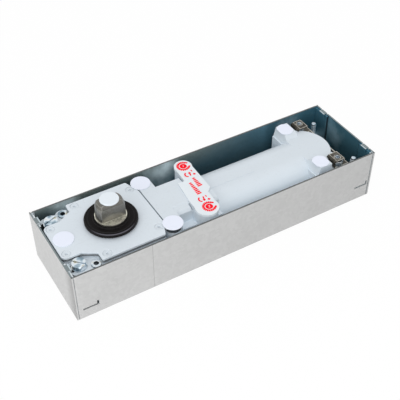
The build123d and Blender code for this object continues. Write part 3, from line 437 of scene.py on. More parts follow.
def fade(tree, value, start, end):
    """Rises from nought to one between two limits."""
    return times(tree, minus(tree, value, start), 1 / (end - start), clamp=True)


def nearest(tree, place, points):
    """Distance from the nearest of some points, which are given in millimetres."""
    reaches = [combine(tree, "DISTANCE", place, tuple(c * MM for c in point), "Value") for point in points]
    return least(tree, *reaches) if len(reaches) > 1 else reaches[0]


def mirrored_plan(tree):
    """Places seen from above, the same both sides of the middle."""
    x, y, _ = coordinates(tree)
    return put(tree, "CombineXYZ", {"X": x, "Y": absolute(tree, y)}).outputs[0]


def slot_shade(tree):
    """Painted shade in the depth of the two clamping slots, below the flange that the washers lie on."""
    x, y, z = coordinates(tree)
    low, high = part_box("clamp_washers")
    across = band(tree, absolute(tree, y), high.y - (high.x - low.x), high.y)
    deep = below(tree, z, low.z - 0.15 * MM)
    return times(tree, across, below(tree, x, high.x), deep, 0.97)


def casting_shade(tree):
    """Painted shade on the casting: its rim under the gasket, its joint at the cover, the gap under two pads, and the
    slots.
    """
    x, y, z = coordinates(tree)
    low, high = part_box("cover_gasket")
    rim = times(tree, below(tree, x, high.x + 1.0 * MM),
                band(tree, z, low.z - 1.0 * MM, low.z + 0.1 * MM), 0.75)
    cover_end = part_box("cover_plate")[1].x
    joint = times(tree, band(tree, x, cover_end - 0.2 * MM, cover_end + 0.5 * MM),
                  above(tree, z, high.z))
    pads_low, pads_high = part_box("neck_pads")
    middle = (pads_low.x + pads_high.x) / 2
    side = pads_high.y - (pads_high.x - pads_low.x) / 2
    gap = times(tree, band(tree, x, middle - 9 * MM, middle + 4.5 * MM),
                above(tree, absolute(tree, y), side + 2 * MM),
                band(tree, z, pads_low.z - 4.2 * MM, pads_low.z - 0.01 * MM), 0.97)
    return most(tree, rim, joint, gap, slot_shade(tree))


def countersink_shade(tree):
    """Painted shade: a faint ring where each screw head meets its countersink, and along the plate's lower edge."""
    off = minus(tree, nearest(tree, mirrored_plan(tree), SCREW_PLACES), 3.55 * MM)
    ring = times(tree, fade(tree, absolute(tree, off), 0.45 * MM, 0.0), 0.32)
    lowest = below(tree, coordinates(tree)[2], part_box("cover_gasket")[1].z + 0.35 * MM)
    return most(tree, ring, times(tree, lowest, 0.7))


def depth_shade(level, amount):
    """Makes a mask of painted shade on what lies below a level."""
    return lambda tree: times(tree, below(tree, coordinates(tree)[2], level), amount)


def thread_shade(tree):
    """Painted shade in the valleys of the studs' threads."""
    low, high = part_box("bracket_studs")
    foot = (high.x - low.x) / 2
    axis = ((high.x - foot) / MM, (high.y - foot) / MM, 0.0)
    valley = below(tree, nearest(tree, mirrored_plan(tree), [axis]), 2.25 * MM)
    return times(tree, valley, below(tree, coordinates(tree)[2], high.z - 0.3 * MM))


def rear_screw_shade(tree):
    """Painted shade on the rims of the rear screws' heads."""
    middle = box_centre("rear_screw_back") / MM
    away = nearest(tree, mirrored_plan(tree), [(middle.x, middle.y, 0.0)])
    return times(tree, above(tree, away, 1.6 * MM), 0.8)


# Materials


def new_finish(name, colour, drift, specks, scratch_scale, smudge_scale):
    """A material with its tone and scuffs. Drift and specks are each an amount and a scale."""
    material = bpy.data.materials.new(name)
    material.use_nodes = True
    tree = material.node_tree
    tone = group_node(tree, "tone", Color=colour, Drift=drift[0], Drift_Scale=drift[1], Specks=specks[0],
                      Speck_Scale=specks[1])
    scuffs = group_node(tree, "scuffs", Scratch_Scale=scratch_scale, Smudge_Scale=smudge_scale)
    return material, tree, tree.nodes["Principled BSDF"], tone, scuffs


def feed(tree, shader, base, mask, amount, roughness, metallic=0.0):
    """Feeds the shader its colour, a roughness that changes by a mask, and how metallic it is."""
    fill(tree, shader.inputs["Base Color"], base)
    fill(tree, shader.inputs["Roughness"], plus(tree, times(tree, mask, amount), roughness))
    fill(tree, shader.inputs["Metallic"], metallic)


def bump(tree, shader, height, distance, strength):
    """Feeds a height into the shader's normal."""
    node = put(tree, "Bump", {"Height": height, "Distance": distance, "Strength": strength})
    fill(tree, shader.inputs["Normal"], node.outputs[0])


def highlight_and_wear_on_edges(tree, base, colour, amount):
    """Shows a second colour on the rounded edges: a painted highlight, and wear where the edge is rubbed."""
    return tint(tree, base, colour, put(tree, "Attribute", attribute_name="worn").outputs["Fac"], amount)


def lathe_rings(tree, centre, rings_per_metre):
    """Rings round the upright axis through a point."""
    moved = mapped(tree, place_of(tree), Location=(-centre.x, -centre.y, 0.0))
    return group_node(tree, "turning", Vector=moved, Rings_Per_Metre=rings_per_metre)


def painted_casting(name, colour, roughness, peel, shade_mask):
    """Satin paint over a casting: slow drift, orange peel, a few pinholes, painted light that makes the paint paler low
    down and lights its rounded edges, and painted shade where a mask says.
    """
    material, tree, shader, tone, scuffs = new_finish(name, colour, (0.14, 22.0), (0.08, 520.0), 46.0, 30.0)
    bright = lighter(colour, 1.25)
    base = tint(tree, tone["Color"], grey(0.50), scuffs["Scratches"], 0.10)
    # Painted light: the paint grows paler from 44 mm down to 34 mm, against the shade down in the box
    base = tint(tree, base, bright, fade(tree, coordinates(tree)[2], 44 * MM, 34 * MM), 0.9)
    base = highlight_and_wear_on_edges(tree, base, bright, 0.7)
    # Painted shade where the mask says
    base = tint(tree, base, PAINT_SHADE, shade_mask(tree))
    feed(tree, shader, base, scuffs["Smudges"], 0.10, roughness)
    bump(tree, shader, noise(tree, place_of(tree), 480.0, 3.0), peel, 0.6)
    fill(tree, shader.inputs["Coat Weight"], 0.12)
    fill(tree, shader.inputs["Coat Roughness"], 0.25)
    return material


def outer_zinc(tree, base, low, high):
    """The pale outer faces, with painted shade toward the far end and at one corner of the spindle's end."""
    x, y, _ = coordinates(tree)
    along = plus(tree, times(tree, x, 1 / (2 * high.x)), 0.5)
    shade = ramp(tree, along, [(0.0, grey(1.0)), (1.0, grey(0.86))])
    outer = mix_colour(tree, 1.0, base, shade, "MULTIPLY")
    corner = times(tree, fade(tree, y, -26 * MM, -41 * MM), below(tree, x, low.x + ON_FACE))
    return tint(tree, outer, grey(0.25), corner, 0.7)


def inner_zinc(tree, colour, low, high):
    """The inner faces, painted dark and bluish as shade and reflection of the box's dark inside, with painted
    reflections of the lights, painted light on the upper faces and on the two near walls, and the seams of the folded
    tabs.
    """
    place = place_of(tree)
    x, y, z = coordinates(tree)
    inner = group_node(tree, "tone", Color=colour, Drift=0.9, Drift_Scale=26.0, Specks=0.10, Speck_Scale=420.0)["Color"]
    # Painted light: paler toward the top and toward the spindle end
    upper_painted_light = times(tree, fade(tree, z, 30 * MM, 54 * MM), fade(tree, x, 70 * MM, 0.0))
    inner = tint(tree, inner, (0.26, 0.29, 0.26), upper_painted_light)
    # Painted reflection: bluer toward the far end
    far_painted_blue = fade(tree, x, 60 * MM, 130 * MM)
    inner = tint(tree, inner, (0.085, 0.23, 0.31), far_painted_blue)
    # Painted light on the inner faces of the front wall and the spindle-end wall
    near_walls_painted_light = most(tree, below(tree, y, low.y + 4 * MM), below(tree, x, low.x + 4 * MM))
    inner = tint(tree, inner, (0.74, 0.79, 0.82), near_walls_painted_light, 0.9)
    # Painted reflections of light round the places in REFLECTIONS, with hazy edges
    haze = times(tree, minus(tree, noise(tree, place, 70.0, 3.0), 0.5), 26 * MM)
    glow = fade(tree, plus(tree, nearest(tree, place, REFLECTIONS), haze), 17 * MM, 0.0)
    inner = tint(tree, inner, mix_colour(tree, far_painted_blue, (0.86, 0.98, 1.0), (0.42, 0.66, 0.78)), glow)
    off_seam = absolute(tree, minus(tree, absolute(tree, y), 22.5 * MM))
    on_end = above(tree, absolute(tree, x), high.x - TAB)
    return tint(tree, inner, (0.02, 0.03, 0.04), times(tree, below(tree, off_seam, 0.4 * MM), on_end), 0.85)


def galvanised_sheet(name, settings):
    """Hot-dipped sheet: pale and matt outside with painted shade, glossier inside the box where it is painted dark with
    painted reflections, bare on its cut edges.
    """
    material, tree, shader, tone, scuffs = new_finish(name, settings.outside, (0.25, 9.0), (0.03, 500.0), 38.0, 16.0)
    x, y, z = coordinates(tree)
    low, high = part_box("cement_box")
    far_x = absolute(tree, x)
    far_y = absolute(tree, y)
    rim = high.z - 0.12 * MM
    inside = times(tree, below(tree, far_x, high.x - SKIN), below(tree, far_y, high.y - SKIN),
                   band(tree, z, low.z + SKIN, rim))
    base = mix_colour(tree, inside, outer_zinc(tree, tone["Color"], low, high),
                      inner_zinc(tree, settings.inside, low, high))
    spangle = group_node(tree, "spangle", Crystal_Scale=1 / settings.spangle, Contrast=0.08)
    bright = put(tree, "CombineColor", {i: spangle["Brightness"] for i in range(3)}).outputs[0]
    base = mix_colour(tree, 1.0, base, bright, "MULTIPLY")
    base = tint(tree, base, grey(0.42), scuffs["Scratches"], 0.10)

    edge = mix_colour(tree, below(tree, far_x, high.x - TAB), (0.20, 0.24, 0.25), (0.50, 0.58, 0.62))
    edge = tint(tree, edge, settings.cut_edge, above(tree, far_y, high.y - 1.5 * MM))
    base = tint(tree, base, edge, above(tree, z, rim))
    scribed = times(tree, below(tree, absolute(tree, plus(tree, x, 75.5 * MM)), 0.22 * MM), 0.45)
    fold = times(tree, band(tree, far_x, high.x - 2.3 * MM, high.x - 1.5 * MM), 0.9)
    front = below(tree, y, low.y + ON_FACE)
    base = tint(tree, base, grey(0.16), times(tree, most(tree, scribed, fold), front))

    feed(tree, shader, base, scuffs["Smudges"], 0.10, plus(tree, times(tree, inside, -0.22), 0.56),
         plus(tree, times(tree, inside, 0.25), 0.35))
    bump(tree, shader, spangle["Gloss"], 0.010 * MM, 0.5)
    return material


def spindle_stains_and_light(tree, base, ledge):
    """Oil stains, painted shade on the crown under the cap and on the foot of the flats, and a painted highlight on the
    ledge of the spindle's collar.
    """
    level = coordinates(tree)[2]
    mottle = contrast(tree, noise(tree, place_of(tree), 430.0, 4.0, 0.7), 0.44, 0.60)
    base = tint(tree, base, OIL_STAIN_AND_SHADE, mottle, 0.25)
    # Painted shade on the crown, under the cap's overhang
    base = tint(tree, base, (0.10, 0.098, 0.088), above(tree, level, ledge + 12.2 * MM), 0.6)
    # Painted shade on the foot of the flats, in old oil's colour
    base = tint(tree, base, OIL_STAIN_AND_SHADE, fade(tree, level, ledge + 5 * MM, ledge), 0.45)
    # Painted highlight on the collar's ledge, broken by the stains
    ring = band(tree, level, ledge - 0.8 * MM, ledge + 0.12 * MM)
    return tint(tree, base, (0.80, 0.79, 0.67), ring, minus(tree, 1.0, times(tree, mottle, 0.55)))


def turned_steel(name, colour, centre, rings_per_metre, roughness, ledge=None):
    """Bare steel with lathe rings round an upright axis through a point, a painted highlight with wear on its rounded
    edges, and a painted highlight on a ledge at one level.
    """
    material, tree, shader, tone, scuffs = new_finish(name, colour, (0.9, 110.0), (0.40, 620.0), 90.0, 70.0)
    rings = lathe_rings(tree, centre, rings_per_metre)
    base = tint(tree, tone["Color"], grey(0.60), rings["Streak"], 0.16)
    base = tint(tree, base, (0.33, 0.31, 0.22), scuffs["Smudges"], 0.25)
    if ledge is not None:
        base = spindle_stains_and_light(tree, base, ledge)
    base = highlight_and_wear_on_edges(tree, base, (0.60, 0.595, 0.56), 0.55)
    feed(tree, shader, base, scuffs["Scratches"], 0.15, roughness, 0.9)
    bump(tree, shader, rings["Height"], 0.015 * MM, 0.6)
    return material


def plated_steel(name, colour, roughness, reflection_streaks=(), shade_mask=None):
    """Zinc plating with small stains, painted reflections in upright streaks where they are given, a painted highlight
    on its rounded edges, and painted shade where a mask says.
    """
    material, tree, shader, tone, scuffs = new_finish(name, colour, (0.8, 180.0), (0.16, 900.0), 120.0, 160.0)
    base = tone["Color"]
    # Painted reflections: streaks stretched upright, coloured by the ramp's stops
    if reflection_streaks:
        long = mapped(tree, place_of(tree), Scale=(1.0, 1.0, 0.3))
        base = mix_colour(tree, 0.85, base, ramp(tree, noise(tree, long, 170.0, 1.0, distortion=0.2), reflection_streaks))
    base = highlight_and_wear_on_edges(tree, base, (0.88, 0.90, 0.92), 0.7)
    # Painted shade where the mask says
    if shade_mask:
        base = tint(tree, base, METAL_SHADE, shade_mask(tree))
    feed(tree, shader, base, scuffs["Smudges"], 0.20, roughness, 1.0)
    bump(tree, shader, scuffs["Scratches"], 0.01 * MM, 0.4)
    return material


def plain_plastic(name, colour, roughness):
    """Moulded plastic: faint tone drift, a fine satin grain and a painted highlight on its rounded edges."""
    material, tree, shader, tone, scuffs = new_finish(name, colour, (0.06, 40.0), (0.02, 1200.0), 80.0, 60.0)
    base = highlight_and_wear_on_edges(tree, tone["Color"], lighter(colour, 1.12), 0.8)
    feed(tree, shader, base, scuffs["Smudges"], 0.08, roughness)
    bump(tree, shader, noise(tree, place_of(tree), 2400.0, 2.0), 0.004 * MM, 0.5)
    return material


def seal_rim_painted_highlight(tree, centre, rim):
    """A painted highlight of grey on the seal just inside its rim, on its front."""
    away = nearest(tree, mirrored_plan(tree), [(centre.x / MM, centre.y / MM, 0.0)])
    moved = combine(tree, "SUBTRACT", place_of(tree), tuple(centre))
    toward = combine(tree, "DOT_PRODUCT", moved, (-0.32, -0.95, 0.0), "Value")
    return times(tree, band(tree, away, rim - 1.3 * MM, rim - 0.45 * MM), fade(tree, toward, 11 * MM, 19 * MM))


def rubber(name, colour, centre=None, rim=0.0):
    """Black rubber, dusty, with moulding rings, a painted highlight on its rounded edges, and a painted highlight
    inside the rim where it is a round seal.
    """
    material, tree, shader, tone, scuffs = new_finish(name, colour, (0.3, 90.0), (0.012, 1500.0), 70.0, 50.0)
    base = tint(tree, tone["Color"], grey(0.30), scuffs["Smudges"], 0.010)
    if centre is not None:
        base = tint(tree, base, (0.16, 0.16, 0.19), seal_rim_painted_highlight(tree, centre, rim), 0.7)
        bump(tree, shader, lathe_rings(tree, centre, 1400.0)["Height"], 0.006 * MM, 0.5)
    else:
        bump(tree, shader, tone["Speck Mask"], 0.01 * MM, 0.5)
    base = highlight_and_wear_on_edges(tree, base, (0.05, 0.05, 0.053), 0.4)
    feed(tree, shader, base, scuffs["Smudges"], 0.15, 0.34)
    fill(tree, shader.inputs["Specular IOR Level"], 0.06)
    return material


def dark_strip(name, colour):
    """Hot-rolled strip: brown-grey scale, lighter where it is rubbed, and a painted highlight with wear on its edges.
    """
    material, tree, shader, tone, scuffs = new_finish(name, colour, (1.0, 120.0), (0.10, 520.0), 90.0, 110.0)
    base = tint(tree, tone["Color"], (0.20, 0.18, 0.145), scuffs["Smudges"], 0.45)
    base = highlight_and_wear_on_edges(tree, base, (0.62, 0.60, 0.54), 0.85)
    base = tint(tree, base, grey(0.42), scuffs["Scratches"], 0.30)
    feed(tree, shader, base, scuffs["Scratches"], -0.15, 0.48, 0.75)
    bump(tree, shader, tone["Drift Mask"], 0.02 * MM, 0.4)
    return material


# Meshes


def add_object(name, data):
    thing = bpy.data.objects.new(name, data)
    bpy.context.scene.collection.objects.link(thing)
    return thing


def to_mesh(bm, name):
    mesh = bpy.data.meshes.new(name)
    bm.to_mesh(mesh)
    bm.free()
    return mesh


def to_piece(bm, name, body, material, stands_for=(), weighted=True):
    """Turns a bmesh into a finished piece riding on a body."""
    mesh = to_mesh(bm, name)
    finish(mesh, material)
    mesh.shade_smooth()
    mesh.set_sharp_from_angle(angle=SMOOTH_ANGLE)
    piece = add_object(name, mesh)
    if weighted:
        modifier = piece.modifiers.new("Even shading", "WEIGHTED_NORMAL")
        modifier.keep_sharp = True
        modifier.weight = 80
    if stands_for:
        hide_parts(*stands_for)
    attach(piece, body)
    return piece


def finish(mesh, material):
    mesh.materials.clear()
    mesh.materials.append(material)


def merged_copy(node):
    """A CAD node's mesh in one skin."""
    bm = bmesh.new()
    bm.from_mesh(frame["nodes"][node].data)
    bmesh.ops.remove_doubles(bm, verts=bm.verts, dist=MERGE)
    return bm


def flatten(bm):
    """Makes flat faces whole again."""
    bmesh.ops.dissolve_limit(bm, angle_limit=math.radians(0.4), verts=bm.verts, edges=bm.edges)


def round_edges(bm, width, segments=2, angle=35.0):
    """Rounds the sharp edges and marks the new faces, so that materials can show a painted highlight and wear there."""
    worn = bm.faces.layers.float.new("worn")
    edges = [e for e in bm.edges if e.is_manifold and e.calc_face_angle() > math.radians(angle)]
    if edges:
        made = bmesh.ops.bevel(bm, geom=edges, offset=width, offset_type="OFFSET", segments=segments, profile=0.5,
                               affect="EDGES", clamp_overlap=True, material=-1)
        for face in made["faces"]:
            face[worn] = 1.0
        bmesh.ops.dissolve_degenerate(bm, dist=MERGE / 4, edges=bm.edges)


def rounded_node(node, name, width, material, segments=2, angle=35.0, reshape=None):
    """A CAD node's copy with rounded edges, reshaped first where that is asked."""
    bm = merged_copy(node)
    if reshape:
        reshape(bm)
    flatten(bm)
    round_edges(bm, width, segments, angle)
    return to_piece(bm, name, frame["nodes"][node]["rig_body"], material, (node,))


def raise_seal(bm, gap, lift, lip_lift):
    """Stands the seal's rim clear of the cover plate."""
    low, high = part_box("shaft_seal")
    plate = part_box("cover_plate")[1].z
    middle = (low + high) / 2
    for vert in bm.verts:
        away = math.hypot(vert.co.x - middle.x, vert.co.y - middle.y)
        if vert.co.z > high.z - 0.01 * MM:
            vert.co.z += lip_lift
        elif vert.co.z > plate + 0.2 * MM:
            vert.co.z += lift
        elif vert.co.z > plate - 0.01 * MM and away > (high.x - low.x) / 2 - 0.5 * MM:
            vert.co.z += gap


def join(target, *others):
    for other in others:
        mesh = to_mesh(other, "part")
        target.from_mesh(mesh)
        bpy.data.meshes.remove(mesh)


def threaded_rod(x, y, bottom, top, radius, pitch, depth):
    """An upright rod with a spun thread, cut flat at both ends and tapered over its last turn."""
    bm = bmesh.new()
    turns = int((top - bottom) / pitch) + 3
    start = bottom - 1.5 * pitch
    verts = [bm.verts.new((radius - depth * inward, 0, start + share * pitch)) for inward, share in THREAD]
    edges = [bm.edges.new(pair) for pair in zip(verts, verts[1:])]
    bmesh.ops.spin(bm, geom=verts + edges, cent=(0, 0, 0), axis=(0, 0, 1), dvec=(0, 0, pitch / TURN_STEPS),
                   angle=2 * math.pi * turns, steps=TURN_STEPS * turns)
    bmesh.ops.remove_doubles(bm, verts=bm.verts, dist=MERGE)
    for level, keep_above in ((bottom, True), (top, False)):
        cut = bmesh.ops.bisect_plane(bm, geom=bm.verts[:] + bm.edges[:] + bm.faces[:], plane_co=(0, 0, level),
                                     plane_no=(0, 0, 1), clear_inner=keep_above, clear_outer=not keep_above)
        rim = [e for e in cut["geom_cut"] if isinstance(e, bmesh.types.BMEdge)]
        bmesh.ops.contextual_create(bm, geom=rim)
    lead = 0.8 * pitch
    for vert in bm.verts:
        past = (vert.co.z - (top - lead)) / lead
        reach = math.hypot(vert.co.x, vert.co.y)
        limit = radius - depth * 1.2 * past
        if past > 0 and reach > limit:
            vert.co.x *= limit / reach
            vert.co.y *= limit / reach
    bmesh.ops.dissolve_degenerate(bm, dist=MERGE / 2, edges=bm.edges)
    bmesh.ops.recalc_face_normals(bm, faces=bm.faces)
    bmesh.ops.translate(bm, vec=(x, y, 0), verts=bm.verts)
    return bm


# The label's print, drawn flat in millimetres from the middle of the box and then given its thickness


def tile(bm, points):
    """Draws a tile with the given outline."""
    bm.faces.new([bm.verts.new((x * MM, y * MM, 0)) for x, y in points])


def disc(bm, x, y, radius, segments=40):
    bmesh.ops.create_circle(bm, cap_ends=True, segments=segments, radius=radius * MM,
                            matrix=Matrix.Translation((x * MM, y * MM, 0)))


def stroke(bm, points, width):
    """Draws a bar that follows a line of points."""
    places = [Vector((x, y, 0)) * MM for x, y in points]
    sides = []
    for i, place in enumerate(places):
        along = (places[min(i + 1, len(places) - 1)] - places[max(i - 1, 0)]).normalized()
        across = Vector((-along.y, along.x, 0)) * (width * MM / 2)
        sides.append((bm.verts.new(place + across), bm.verts.new(place - across)))
    for (a, b), (c, d) in zip(sides, sides[1:]):
        bm.faces.new((a, b, d, c))


def bar(bm, x, y, half_length, width):
    """Draws a bar along X."""
    stroke(bm, [(x - half_length, y), (x + half_length, y)], width)


def on_circle(x, y, radius, degrees):
    return x + radius * math.cos(math.radians(degrees)), y + radius * math.sin(math.radians(degrees))


def draw_dial(bm, x, y, settings):
    """A disc in an open ring of ticks, with a dot at each end of the ring."""
    disc(bm, x, y, settings.disc_radius / MM)
    outer = settings.ring_radius / MM
    for i in range(settings.ticks):
        angle = 360 * (i + 0.5) / settings.ticks
        if min(angle, 360 - angle) >= RING_OPENING:
            stroke(bm, [on_circle(x, y, outer - TICK_LENGTH, angle), on_circle(x, y, outer, angle)], TICK_WIDTH)
    for side in (-2.5, 2.5):
        disc(bm, x + 4.6, y + side, 0.95, 20)


def draw_arrow(bm, middle, tail, tip, minus_at, plus_at):
    """A bent arrow with a minus and a plus sign beside it."""
    stroke(bm, [on_circle(*middle, 2.7, 110 + 140 * i / 12) for i in range(13)], 1.3)
    direction = (Vector(tip) - Vector(tail)).normalized()
    across = Vector((-direction.y, direction.x)) * 1.5
    foot = Vector(tip) - direction * 2.1
    stroke(bm, [tail, Vector(tip) - direction * 2.0], 1.2)
    tile(bm, [tip, foot + across, foot - across])
    x, y = minus_at
    stroke(bm, [(x, y - 1.0), (x, y + 1.0)], 1.05)
    x, y = plus_at
    bar(bm, x, y, 1.2, 1.0)
    for near, far in ((-1.2, -0.5), (0.5, 1.2)):
        stroke(bm, [(x, y + near), (x, y + far)], 1.0)


def thicken(bm, level, height):
    """Closes flat shapes into tiles that stand on a level."""
    bm.normal_update()
    for face in bm.faces:
        if face.normal.z < 0:
            face.normal_flip()
    made = bmesh.ops.extrude_face_region(bm, geom=bm.faces[:], use_keep_orig=True)
    moved = [v for v in made["geom"] if isinstance(v, bmesh.types.BMVert)]
    bmesh.ops.translate(bm, vec=(0, 0, height), verts=moved)
    bmesh.ops.translate(bm, vec=(0, 0, level), verts=bm.verts)
    bmesh.ops.recalc_face_normals(bm, faces=bm.faces)


def numeral(text, x, y, size, turn, level, height):
    """A printed figure as a thin closed mesh."""
    curve = bpy.data.curves.new("numeral", "FONT")
    curve.body = text
    curve.size = size * MM
    curve.align_x = curve.align_y = "CENTER"
    curve.extrude = height / 2
    curve.resolution_u = 4
    holder = bpy.data.objects.new("numeral", curve)
    mesh = bpy.data.meshes.new_from_object(holder)
    bm = bmesh.new()
    bm.from_mesh(mesh)
    bmesh.ops.remove_doubles(bm, verts=bm.verts, dist=MERGE / 2)
    bmesh.ops.recalc_face_normals(bm, faces=bm.faces)
    place = Matrix.Translation((x * MM, y * MM, level + height / 2)) @ Matrix.Rotation(math.radians(turn), 4, "Z")
    bmesh.ops.transform(bm, matrix=place, verts=bm.verts)
    bpy.data.objects.remove(holder)
    bpy.data.curves.remove(curve)
    bpy.data.meshes.remove(mesh)
    return bm


# Operators


class MakeBox(bpy.types.Operator):
    """Cement box: folded galvanised sheet with softened cut edges"""

    bl_idname = "floor_spring.make_box"
    bl_label = "Cement box"

    def execute(self, context):
        settings = context.scene.floor_spring_box
        sheet = galvanised_sheet("Galvanised Sheet", settings)
        rounded_node("cement_box", "box_sheet", settings.edge_round, sheet, segments=1, angle=50.0)
        return {"FINISHED"}


class MakeCasting(bpy.types.Operator):
    """Closer housing: painted casting with rounded edges"""

    bl_idname = "floor_spring.make_casting"
    bl_label = "Closer housing"

    def execute(self, context):
        settings = context.scene.floor_spring_casting
        paint = painted_casting("Silver Grey Paint", settings.paint, settings.roughness, settings.peel, casting_shade)
        rounded_node("housing", "closer_casting", settings.edge_round, paint)
        return {"FINISHED"}


class MakeCover(bpy.types.Operator):
    """Cover plate and its gasket"""

    bl_idname = "floor_spring.make_cover"
    bl_label = "Cover plate"

    def execute(self, context):
        settings = context.scene.floor_spring_casting
        paint = painted_casting("Cover Paint", settings.cover_paint, settings.roughness - 0.04, settings.peel,
                                countersink_shade)
        rounded_node("cover_plate", "mechanism_cover", settings.cover_round, paint)
        black = rubber("Gasket Rubber", (0.012, 0.013, 0.015))
        rounded_node("cover_gasket", "cover_gasket_sheet", 0.1 * MM, black)
        return {"FINISHED"}


class MakePads(bpy.types.Operator):
    """Five bearing pads with softened rims"""

    bl_idname = "floor_spring.make_pads"
    bl_label = "Bearing pads"

    def execute(self, context):
        settings = context.scene.floor_spring_pads
        plastic = plain_plastic("Pad Plastic", settings.plastic, 0.35)
        for node, name in (("plate_pad", "pad_on_cover"), ("neck_pads", "pads_by_neck"), ("ear_pads", "pads_on_ears")):
            rounded_node(node, name, settings.edge_round, plastic)
        return {"FINISHED"}


class MakeLabel(bpy.types.Operator):
    """Valve cap with two dials, arrows and graduated bars"""

    bl_idname = "floor_spring.make_label"
    bl_label = "Valve cap"

    def execute(self, context):
        settings = context.scene.floor_spring_label
        moulding = plain_plastic("Cap Plastic", settings.cap, 0.45)
        rounded_node("label_cap", "valve_cap", settings.edge_round, moulding, angle=50.0)
        ink = plain_plastic("Red Ink", settings.ink, 0.40)
        ink.node_tree.nodes["Principled BSDF"].inputs["Specular IOR Level"].default_value = 0.12
        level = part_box("label_cap")[1].z - 0.004 * MM
        marks = bmesh.new()
        figures = bmesh.new()
        for x, y, text in DIALS:
            draw_dial(marks, x, y, settings)
            join(figures, numeral(text, x, y, 3.5, -23, level, settings.ink_height + 0.02 * MM))
        for arrow in ARROWS:
            draw_arrow(marks, *arrow)
        for x, start, count in SCALES:
            for i in range(count):
                bar(marks, x, start - SCALE_PITCH * i, 0.9 + 1.2 * (i + 1) / count, 1.45)
        thicken(marks, level, settings.ink_height)
        for bm, name, colour in ((marks, "valve_cap_print", ink), (figures, "valve_cap_numerals", moulding)):
            piece = to_piece(bm, name, "label", colour, weighted=False)
            if not piece.data.polygons:
                raise RuntimeError("the valve cap's print is empty")
        return {"FINISHED"}


class MakeSpindle(bpy.types.Operator):
    """Spindle with its top cap, and the shaft seal round it"""

    bl_idname = "floor_spring.make_spindle"
    bl_label = "Spindle and seal"

    def execute(self, context):
        settings = context.scene.floor_spring_spindle
        axis = box_centre("spindle_cap")
        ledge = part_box("spindle")[1].z - settings.ledge_drop
        steel = turned_steel("Turned Spindle Steel", settings.steel, axis, 1 / settings.ring_pitch, 0.34, ledge)
        rounded_node("spindle", "drive_spindle", settings.edge_round, steel)
        cap = plain_plastic("Top Cap Plastic", settings.top_cap, 0.38)
        rounded_node("spindle_cap", "spindle_top_cap", SOFT_EDGE, cap)
        low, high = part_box("shaft_seal")
        black = rubber("Seal Rubber", settings.seal, axis, (high.x - low.x) / 2)
        rounded_node("shaft_seal", "seal_round_spindle", SOFT_EDGE, black,
                     reshape=lambda bm: raise_seal(bm, settings.seal_gap, settings.seal_lift, settings.seal_lip_lift))
        return {"FINISHED"}


class MakeFasteners(bpy.types.Operator):
    """Screws, nuts and studs"""

    bl_idname = "floor_spring.make_fasteners"
    bl_label = "Screws, nuts and studs"

    def execute(self, context):
        settings = context.scene.floor_spring_fasteners
        paint = context.scene.floor_spring_casting
        # Painted shade in the cover screws' sockets
        socket_shade = depth_shade(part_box("cover_screws")[1].z - 0.3 * MM, 0.14)
        painted = painted_casting("Painted Over Steel", paint.paint, paint.roughness, paint.peel, socket_shade)
        # Clamping, Shaded and Socketed Zinc take painted shade in the slots, on the rear screws' rims and in the height
        # screws' sockets
        zinc, clamped, shaded, socketed = (
            plated_steel(name, settings.zinc, roughness, ZINC_PAINTED_REFLECTIONS, shade_mask)
            for name, roughness, shade_mask in (
                ("Zinc Plating", 0.32, None),
                ("Clamping Zinc", 0.32, slot_shade),
                ("Shaded Zinc", 0.30, rear_screw_shade),
                ("Socketed Zinc", 0.30, depth_shade(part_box("height_screw_front")[1].z - 0.5 * MM, 0.6)),
            )
        )
        rounded_node("cover_screws", "screws_in_cover", settings.edge_round, painted)
        for screw, material in (("clamp_screw", clamped), ("height_screw", socketed), ("rear_screw", shaded)):
            for side, place in (("front", "near"), ("back", "far")):
                rounded_node(f"{screw}_{side}", f"{screw}_{place}", settings.edge_round, material)
        for node, name in (
            ("closing_valve", "closing_valve_screw"),
            ("latching_valve", "latching_valve_screw"),
            ("clamp_washers", "washers_under_clamps"),
            ("lock_nuts", "nuts_on_rear_screws"),
            ("stud_nuts", "nuts_on_studs"),
        ):
            rounded_node(node, name, settings.edge_round, zinc)
        self.make_studs(settings)
        return {"FINISHED"}

    def make_studs(self, settings):
        """Two threaded studs, each on a round foot."""
        low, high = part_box("bracket_studs")
        foot = (high.x - low.x) / 2
        x = (low.x + high.x) / 2
        start = low.z + settings.stud_foot - settings.edge_round
        studs = bmesh.new()
        for y in (low.y + foot, high.y - foot):
            base = bmesh.new()
            bmesh.ops.create_cone(base, cap_ends=True, segments=64, radius1=foot, radius2=foot,
                                  depth=settings.stud_foot,
                                  matrix=Matrix.Translation((x, y, low.z + settings.stud_foot / 2)))
            round_edges(base, settings.edge_round)
            join(studs, base, threaded_rod(x, y, start, high.z, settings.stud_radius, settings.stud_pitch,
                                           settings.thread_depth))
        thread = plated_steel("Threaded Zinc", lighter(settings.zinc, 0.8), 0.34, ZINC_PAINTED_REFLECTIONS, thread_shade)
        to_piece(studs, "threaded_studs", "box", thread, ("bracket_studs",), weighted=False)


class MakeBracket(bpy.types.Operator):
    """Rear cross strip with its two clips"""

    bl_idname = "floor_spring.make_bracket"
    bl_label = "Rear bracket"

    def execute(self, context):
        settings = context.scene.floor_spring_bracket
        strip = merged_copy("rear_bracket")
        flatten(strip)
        round_edges(strip, settings.edge_round, 1)
        worn = strip.faces.layers.float["worn"]
        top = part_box("rear_bracket")[1].z
        clips = [f for f in strip.faces if f.normal.z > 0.99 and f.calc_center_median().z > top - 12 * MM]
        # A border round each clip's top takes the painted highlight and wear of the edges
        bmesh.ops.inset_region(strip, faces=clips, thickness=settings.border, use_even_offset=True)
        for face in {f for clip in clips for edge in clip.edges for f in edge.link_faces} - set(clips):
            face[worn] = 1.0
        steel = dark_strip("Dark Strip Steel", settings.steel)
        to_piece(strip, "rear_cross_strip", "closer", steel, ("rear_bracket",))
        return {"FINISHED"}


